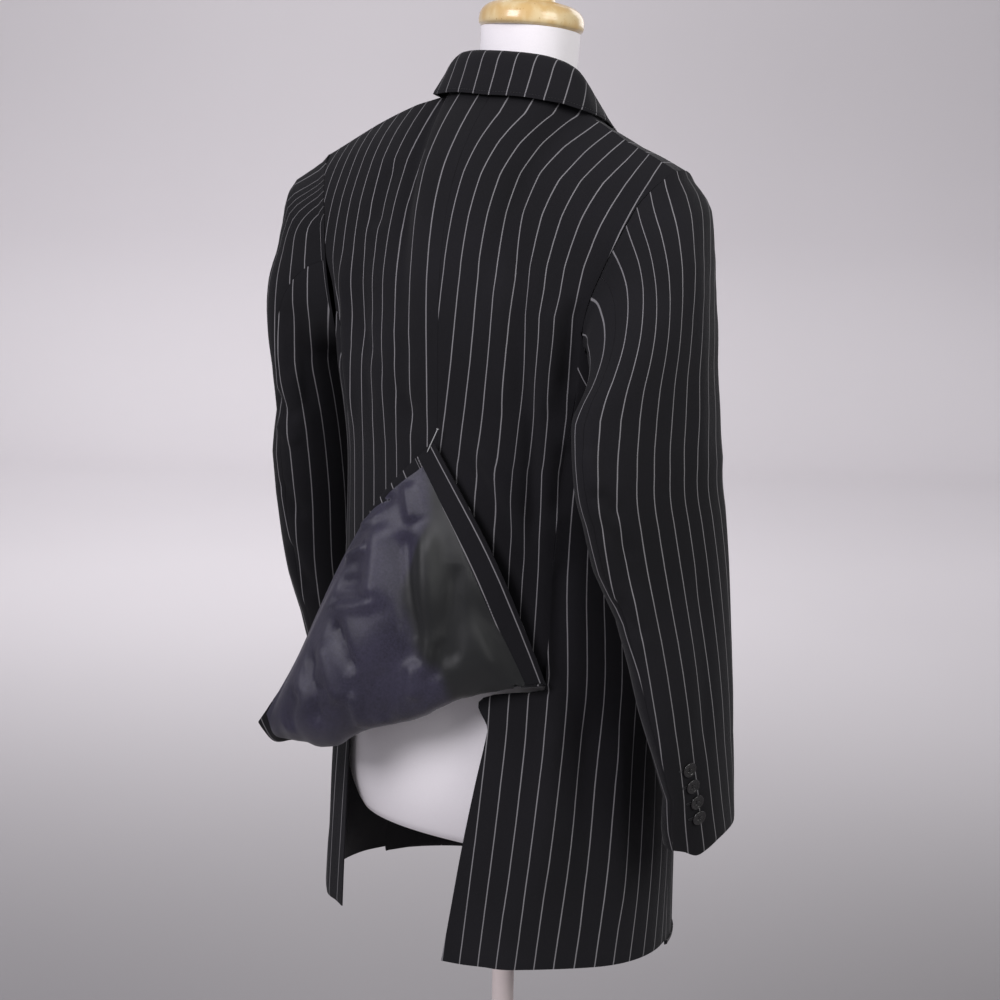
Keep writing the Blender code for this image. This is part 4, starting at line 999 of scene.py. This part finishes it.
def holeLine(centre, across, look, wide, high):  # a buttonhole's outline
    turns = np.linspace(0, 2 * np.pi, 29)
    x, y = np.cos(turns), np.sin(turns)
    x = np.sign(x) * np.minimum(abs(x) * 1.12, 1.0)
    return centre + x[:, None] * across * wide / 2 + y[:, None] * np.cross(look, across) * high / 2


def sewEdges(tree):
    inner = slice(1, -1)
    lines = [lineOn("vent_facing_right", slice(2, -1), -2), lineOn("vent_facing_left", slice(2, -1), 1)]
    for node in ("lapel_right", "lapel_left"):
        lines += [lineOn(node, inner, -2), lineOn(node, -2, inner)]
    for node in ("pocket_flap_right", "pocket_flap_left"):
        lines.append(lineOn(node, -3, slice(2, -2)))
        lines += [lineOn(node, slice(1, -2), column) for column in (2, -3)]
    lines.append(lineOn("collar", -2, inner))
    makeStitches("edge_stitches", tree, lines, stitch)
    holes = []
    for _, kind, point, look in buttonPlaces():
        lift, aside, wide, high = buttons[kind][2]
        across = unit(np.cross((0.0, 0.0, 1.0), look))
        holes.append(holeLine(point + look * lift + across * aside, across, look, wide, high))
    grid, normals = madeGrids["lapel_left"]
    r, c = int(len(grid) * lapelHole["down"]), int(grid.shape[1] * lapelHole["across"])
    across = unit(grid[r, c + 1] - grid[r, c - 1])
    centre, look = grid[r, c] + normals[r, c] * lapelHole["lift"], normals[r, c]
    holes.append(holeLine(centre, across, look, lapelHole["wide"], lapelHole["high"]))
    makeStitches("buttonhole_stitches", tree, holes, holeStitch)


# dress form: level, x and y, and how wide and deep

formRings = mm(
    (700, 10, 2, 170, 100), (735, 12, 3, 180, 110), (800, 13, 4, 182, 115), (900, 10, 4, 174, 114),
    (1000, 4, 2, 154, 108), (1090, 0, 0, 142, 104), (1180, 0, 0, 150, 112), (1270, 2, 2, 156, 114),
    (1340, 3, 10, 158, 106), (1395, 3, 16, 148, 86), (1430, 3, 18, 122, 64), (1452, 1, 14, 96, 54),
    (1472, 0, 2, 70, 48), (1502, 0, -10, 55, 46), (1540, 0, -17, 52, 46), (1572, 0, -20, 52, 47),
)
form = {"tilt": 8.0, "squareness": 0.86, "around": 96, "levels": (0.70, 1.34, 1.572), "tiltFrom": 1.515,
        "capGap": 0.0003}
# radius and height of the turned pieces
capProfile = mm((52, 0), (55.5, 3), (56, 9), (54.5, 16), (49, 22.5), (40, 26.5), (27, 29), (23, 32), (25, 37),
                (31, 42), (33, 49), (30, 57), (20, 63), (8, 65.5))
baseProfile = mm((0, 0), (186, 0), (190, 3), (190, 9), (184, 13), (60, 22), (34, 30), (30, 70), (26, 78), (0, 78))
poleProfile = mm((0, 78.3), (12.5, 78.3), (12.5, 699.7), (0, 699.7))


def formRing(row):
    level, x, y, wide, deep = row
    at = 2 * np.pi * np.arange(form["around"]) / form["around"]
    c, s = (np.sign(wave) * np.abs(wave) ** form["squareness"] for wave in (np.cos(at), np.sin(at)))
    return np.stack([x + wide * c, y + deep * s, np.full(len(at), level)], axis=-1)


def makeForm(cover, beech, enamel):
    low, middle, high = form["levels"]
    levels = np.unique(np.concatenate([np.linspace(low, middle, 60), np.linspace(middle, high, 40)]))
    rings = [formRing(row) for row in smoothRows(formRings[:, 0], formRings, levels)]
    tilt, back = math.radians(form["tilt"]), rings[-1][:, 1].mean()
    for ring, level in zip(rings, levels):
        ring[:, 2] += (ring[:, 1] - back) * math.tan(tilt) * ease((level - form["tiltFrom"]) / 0.057)
    bottom, centre = rings[0].mean(axis=0), rings[-1].mean(axis=0)
    foot = [bottom + (rings[0] - bottom) * 0.97, bottom + (rings[0] - bottom) * 0.99 + (0, 0, 0.0010)]
    torso = ringShell("form_torso_cover", [bottom[None], *foot, *rings[1:], centre[None]], cover, 50)
    axis = np.array((0.0, -math.sin(tilt), math.cos(tilt)))
    steps = np.arange(len(capProfile))
    profile = [(0, 0), *smoothRows(steps, capProfile, np.linspace(0, steps[-1], 66)), (0, 0.0660)]
    cap = lathe("neck_cap_wood", profile, beech, 96, centre + axis * form["capGap"], axis)
    base = lathe("base_plate", baseProfile, enamel, 128)
    pole = lathe("pole_tube", poleProfile, enamel, 64)
    for thing, slot, node in ((torso, "form_cover", "form_torso"), (cap, "pale_wood", "neck_cap"),
                              (base, "pole_enamel", "base"), (pole, "pole_enamel", "pole")):
        standFor(thing, slot, node)


# materials

def startMaterial(name, colour, roughness, metallic=0.0):
    material = bpy.data.materials.new(name)
    material.use_nodes = True
    nodes, shader = Nodes(material.node_tree), material.node_tree.nodes["Principled BSDF"].inputs
    nodes.feed(shader, {"Base Color": colour, "Roughness": roughness, "Metallic": metallic})
    return material, nodes, shader, nodes.add("ShaderNodeTexCoord")["Object"]


def fibreGroup():  # uneven colour and fine fluff, for every cloth
    inputs = {"Vector": ("Vector", (0, 0, 0)), "Colour": ("Color", (0.1, 0.1, 0.1)),
              "Dark Colour": ("Color", (0.05, 0.05, 0.05)), "Fibre Scale": ("Float", 900.0),
              "Patch Scale": ("Float", 9.0)}
    nodes, given = newGroup("cloth_fibres", inputs, {"Colour": "Color", "Height": "Float"})
    fluff = nodes.noise(given["Vector"], given["Fibre Scale"], 3.0)
    patches = nodes.noise(given["Vector"], given["Patch Scale"])
    mixed = nodes.calc("ADD", nodes.calc("MULTIPLY", fluff, 0.55), nodes.calc("MULTIPLY", patches, 0.45))
    colour = nodes.mix(nodes.step(mixed, 0.30, 0.70), given["Dark Colour"], given["Colour"])
    nodes.add("NodeGroupOutput", {"Colour": colour, "Height": fluff})
    return nodes.tree


def weaveGroup():  # threads over and under, along two directions of the flat cloth
    inputs = {"Across": ("Float", 0.0), "Down": ("Float", 0.0), "Thread": ("Float", 0.0008), "Slant": ("Float", 1.0)}
    nodes, given = newGroup("cloth_weave", inputs, {"Height": "Float"})
    calc = nodes.calc
    slant = calc("MULTIPLY_ADD", given["Down"], given["Slant"], given["Across"])
    ribs, knots = (calc("SINE", calc("MULTIPLY", calc("DIVIDE", way, given["Thread"]), turns * math.pi))
                   for way, turns in ((slant, 2), (given["Down"], 2.2)))
    nodes.add("NodeGroupOutput", {"Height": calc("MULTIPLY_ADD", ribs, 0.6, calc("MULTIPLY", knots, 0.25))})
    return nodes.tree


def useCloth(nodes, fibres, place, colour, dark, fibreScale, patchScale):
    inputs = {"Vector": place, "Colour": colour, "Dark Colour": dark, "Fibre Scale": fibreScale,
              "Patch Scale": patchScale}
    return nodes.add("ShaderNodeGroup", inputs, node_tree=fibres)


def useWeave(nodes, weave, across, down, threadWide, slant):
    inputs = {"Across": across, "Down": down, "Thread": threadWide, "Slant": slant}
    return nodes.add("ShaderNodeGroup", inputs, node_tree=weave)["Height"]


def flatPlace(nodes):  # the distances across and down the flat cloth
    return nodes.split(nodes.add("ShaderNodeUVMap", uv_map="cloth")[0])[:2]


wool = {"ground": (0.0112, 0.0105, 0.0134), "deep": (0.0058, 0.0055, 0.0070), "stripe": (0.235, 0.228, 0.240),
        "stripeWide": 0.00115, "roughness": 0.88, "twill": 0.0008, "bump": 0.00010, "stitchPitch": 0.0017}


def woolMaterial(fibres, weave):
    material, nodes, shader, place = startMaterial("pinstripe_wool", wool["ground"], wool["roughness"])
    across, down = flatPlace(nodes)
    calc, pitch = nodes.calc, jacket["stripe"]
    wander = calc("MULTIPLY_ADD", nodes.noise(place, 60.0), 0.0004, across)  # the stripe's thread wavers
    phase = calc("FRACT", calc("ADD", calc("DIVIDE", wander, pitch), 0.49))
    far = calc("MULTIPLY", calc("ABSOLUTE", calc("SUBTRACT", phase, 0.5)), pitch)
    stripe = nodes.step(far, wool["stripeWide"] * 0.70, wool["stripeWide"] * 0.30)
    dashes = calc("SINE", calc("MULTIPLY", down, 2 * math.pi / wool["stitchPitch"]))
    faded = calc("MULTIPLY_ADD", nodes.noise(place, 35.0), 0.5, calc("MULTIPLY_ADD", dashes, 0.16, 0.70))
    stripe = calc("MULTIPLY", stripe, calc("MINIMUM", faded, 1.0))
    cloth = useCloth(nodes, fibres, place, wool["ground"], wool["deep"], 1400.0, 7.0)
    threads = useWeave(nodes, weave, across, down, wool["twill"], 0.8)
    height = calc("MULTIPLY_ADD", stripe, 0.8, calc("MULTIPLY_ADD", cloth["Height"], 0.9, threads))
    nodes.feed(shader, {"Base Color": nodes.mix(stripe, cloth["Colour"], wool["stripe"]),
                        "Normal": nodes.bump(height, wool["bump"]),
                        "Sheen Weight": 0.05, "Sheen Roughness": 0.5, "Specular IOR Level": 0.18})
    return material


# flat is a darker greenish painted shade for the lining where it lies flat by the facing and catches less light
satin = {"lit": (0.037, 0.033, 0.061), "dark": (0.016, 0.0145, 0.028), "flat": (0.0105, 0.0112, 0.0118),
         # the body's inside: a darker copy of the lining's tones, painted shade where the inside lies in shadow
         "bodyShadeLight": (0.0045, 0.0040, 0.0060), "bodyShadeDark": (0.0025, 0.0022, 0.0034), "roughness": 0.36,
         "bump": 0.00008, "gloss": 0.45, "bodyShadeGloss": 0.12}


def satinMaterial(name, fibres, weave, lit, dark, gloss):
    material, nodes, shader, place = startMaterial(name, lit, satin["roughness"])
    across, down = flatPlace(nodes)
    cloth = useCloth(nodes, fibres, place, lit, dark, 420.0, 16.0)
    paintedShadeMask = nodes.add("ShaderNodeAttribute", attribute_name="flat")["Fac"]  # painted shade: where it lies flat by the facing and catches less light
    threads = useWeave(nodes, weave, across, down, 0.0006, 0.15)
    height = nodes.calc("MULTIPLY_ADD", nodes.noise(place, 48.0, 4.0), 9.0, threads)
    nodes.feed(shader, {"Base Color": nodes.mix(paintedShadeMask, cloth["Colour"], satin["flat"]),
                        "Normal": nodes.bump(height, satin["bump"], 0.7),
                        "Sheen Weight": 0.08, "Specular IOR Level": gloss})
    return material


cover = {"base": (0.93, 0.89, 0.91), "light": (0.96, 0.925, 0.955), "dark": (0.93, 0.89, 0.92), "roughness": 0.82,
         "thread": 0.0011, "bump": 0.00010}


def coverMaterial(fibres, weave):
    material, nodes, shader, place = startMaterial("form_cover", cover["base"], cover["roughness"])
    x, y, z = nodes.split(place)
    cloth = useCloth(nodes, fibres, place, cover["light"], cover["dark"], 600.0, 4.0)
    threads = useWeave(nodes, weave, nodes.calc("ADD", x, y), z, cover["thread"], 0.0)
    nodes.feed(shader, {"Base Color": cloth["Colour"],
                        "Normal": nodes.bump(nodes.calc("ADD", cloth["Height"], threads), cover["bump"])})
    return material


wood = {"base": (0.68, 0.50, 0.25), "dark": (0.70, 0.47, 0.20), "light": (0.80, 0.62, 0.34),
        "pores": (0.52, 0.32, 0.12), "roughness": 0.32, "rings": 42.0, "coat": 0.55}


def woodMaterial():
    material, nodes, shader, place = startMaterial("pale_wood", wood["base"], wood["roughness"])
    stretched = nodes.add("ShaderNodeMapping", {"Vector": place, "Scale": (1.0, 1.0, 0.22)})[0]
    rings = nodes.add("ShaderNodeTexWave", {"Vector": stretched, "Scale": wood["rings"], "Distortion": 5.0,
                                            "Detail": 3.0, "Detail Scale": 1.4},
                      wave_type="RINGS", rings_direction="X")["Fac"]
    pores = nodes.noise(place, 420.0, 3.0)
    grain = nodes.mix(rings, wood["dark"], wood["light"])
    nodes.feed(shader, {"Base Color": nodes.mix(nodes.step(pores, 0.62, 0.78), grain, wood["pores"]),
                        "Normal": nodes.bump(pores, 0.00006), "Coat Weight": wood["coat"], "Coat Roughness": 0.12})
    return material


# base colour, roughness, grain's scale and detail, its two tints, how it moves the roughness, bump's scale and depth
finishes = {
    "pole_enamel": {"base": ((0.72, 0.62, 0.60), 0.35), "grain": (30.0, 4.0), "polish": (0.2, 0.26),
                    "tints": ((0.66, 0.57, 0.56), (0.76, 0.67, 0.65)), "bump": (900.0, 0.00003)},
    "polished_horn": {"base": ((0.006, 0.006, 0.007), 0.16), "grain": (260.0, 3.0), "polish": (0.16, 0.10),
                      "tints": ((0.010, 0.010, 0.011), (0.030, 0.028, 0.028))},
    "pin_steel": {"base": ((0.95, 0.95, 0.96), 0.30, 0.85), "grain": (700.0, 2.0), "polish": (0.18, 0.10)},
    "black_thread": {"base": ((0.010, 0.010, 0.012), 0.6), "grain": (1800.0, 2.0),
                     "tints": ((0.006, 0.006, 0.007), (0.022, 0.021, 0.025)), "bump": (1800.0, 0.00005)},
}


def grainMaterial(name):
    finish = finishes[name]
    material, nodes, shader, place = startMaterial(name, *finish["base"])
    grain = nodes.noise(place, *finish["grain"])
    if "tints" in finish:
        nodes.feed(shader, {"Base Color": nodes.mix(grain, *finish["tints"])})
    if "polish" in finish:
        nodes.feed(shader, {"Roughness": nodes.calc("MULTIPLY_ADD", grain, *finish["polish"])})
    if "bump" in finish:
        scale, depth = finish["bump"]
        nodes.feed(shader, {"Normal": nodes.bump(nodes.noise(place, scale), depth)})
    return material


# studio: how deep, how far aside and how high each lamp stands and aims, its size, power and tint

studio = {"wall": (0.82, 0.79, 0.815), "wallDark": (0.775, 0.745, 0.770), "air": ((0.96, 0.95, 1.0), 0.29),
          "near": -7.0, "wallAt": 6.4, "bend": 0.8, "high": 6.0, "wide": 9.0,
          # where the floor darkens towards the camera, the wall towards its top and one side, and how far
          "shades": ((4.2, 0.6, 0.62), (0.2, 1.8, 0.22), (-1.2, 1.2, 0.15))}
lamps = {"key": ((-2.0, -1.9, 2.7), (0, 0, 1.15), 1.3, 66, (0.97, 0.95, 1.0)),
         "fill": ((-2.2, 2.0, 2.7), (0, 0, 1.15), 1.8, 54, (1.0, 1.0, 0.97)),
         "wash": ((3.2, 0, 4.2), (5.6, 0, 0.9), 3.0, 128, (1.0, 0.98, 1.0)),
         "front": ((2.2, 1.6, 2.2), (0, 0, 1.15), 1.6, 16, (1.0, 0.98, 1.0))}


def makeStudio():
    wall, nodes, shader, place = startMaterial("pale_wall", studio["wall"], 0.9)
    calc, (x, y, z) = nodes.calc, nodes.split(place)
    pale = nodes.mix(nodes.noise(place, 0.8), studio["wallDark"], studio["wall"])
    far, aside = (calc("ADD", calc("MULTIPLY", x, float(way[0])), calc("MULTIPLY", y, float(way[1])))
                  for way in (viewDeep, viewAcross))
    floorShade, wallShade, sideShade = (calc("MULTIPLY_ADD", nodes.step(value, start, end), -depth, 1.0)
                                        for value, (start, end, depth) in zip((far, z, aside), studio["shades"]))
    shade = calc("MULTIPLY", calc("MULTIPLY", floorShade, wallShade), sideShade)
    nodes.feed(shader, {"Base Color": nodes.mix(shade, (0.0, 0.0, 0.0), pale)})
    bend, end = studio["bend"], studio["wallAt"]
    profile = [(studio["near"], 0.0), *((end - bend + bend * math.sin(a), bend - bend * math.cos(a))
                                        for a in np.linspace(0, math.pi / 2, 16)), (end, studio["high"])]
    points = [studioPlace(deep, side, high) for deep, high in profile for side in (-studio["wide"], studio["wide"])]
    faces = [(2 * k, 2 * k + 1, 2 * k + 3, 2 * k + 2) for k in range(len(profile) - 1)]
    addMesh("studio_floor", points, faces, [wall])
    world = bpy.data.worlds.new("air")
    bpy.context.scene.world = world
    world.use_nodes = True
    tint, power = studio["air"]
    Nodes(world.node_tree).feed(world.node_tree.nodes["Background"].inputs, {0: tint, 1: power})
    for name, (spot, aim, size, power, tint) in lamps.items():
        light = bpy.data.lights.new(name, "AREA")
        light.energy, light.size, light.color = power, size, tint
        lamp = addObject(name, light)
        lamp.location = studioPlace(*spot)
        way = Vector(studioPlace(*aim)) - Vector(studioPlace(*spot))
        lamp.rotation_euler = way.to_track_quat("-Z", "Y").to_euler()


def makeCamera():
    e, r = math.radians(camera["pitch"]), math.radians(camera["roll"])
    forward = viewDeep * math.cos(e) - np.array([0, 0, math.sin(e)])
    upward = np.cross(viewAcross, forward)
    columns = (viewAcross * math.cos(r) + upward * math.sin(r), upward * math.cos(r) - viewAcross * math.sin(r),
               -forward, studioPlace(-camera["distance"], camera["side"], camera["height"]))
    data = bpy.data.cameras.new("photo_view")
    data.sensor_width = 36
    data.lens = 36 * camera["focal"] / 1000
    eye = addObject("photo_view", data)
    eye.matrix_world = Matrix([*np.stack(columns, axis=1).tolist(), (0, 0, 0, 1)])
    bpy.context.scene.camera = eye


makeStudio()
makeCamera()
bpy.context.scene.view_settings.view_transform = "Standard"
print("studio and camera ready")
fibres, weave = fibreGroup(), weaveGroup()
woolCloth = woolMaterial(fibres, weave)
satinCloth = satinMaterial("satin_lining", fibres, weave, satin["lit"], satin["dark"], satin["gloss"])
# a darker copy of the lining satin for the inside of the backs, sides, fronts and sleeves: painted shade, as that
# inside lies in shadow
shadedSatin = satinMaterial("satin_lining_painted_shade", fibres, weave, satin["bodyShadeLight"], satin["bodyShadeDark"], satin["bodyShadeGloss"])
enamel, horn, steel, thread = (grainMaterial(name) for name in finishes)
makeBacks(woolCloth, shadedSatin)
makeFlapInside(woolCloth, satinCloth)
print("back and flap ready")
makeSides(woolCloth, shadedSatin)
makeFronts(woolCloth, shadedSatin)
makeLapels(woolCloth)
makeCollar(woolCloth)
print("body ready")
makeSleeves(woolCloth, shadedSatin)
makePockets(woolCloth)
makeButtons(horn, thread)
makePin(steel)
sewEdges(stitchTree(thread))
print("sleeves, pockets and buttons ready")
makeForm(coverMaterial(fibres, weave), woodMaterial(), enamel)
print("dress form ready")
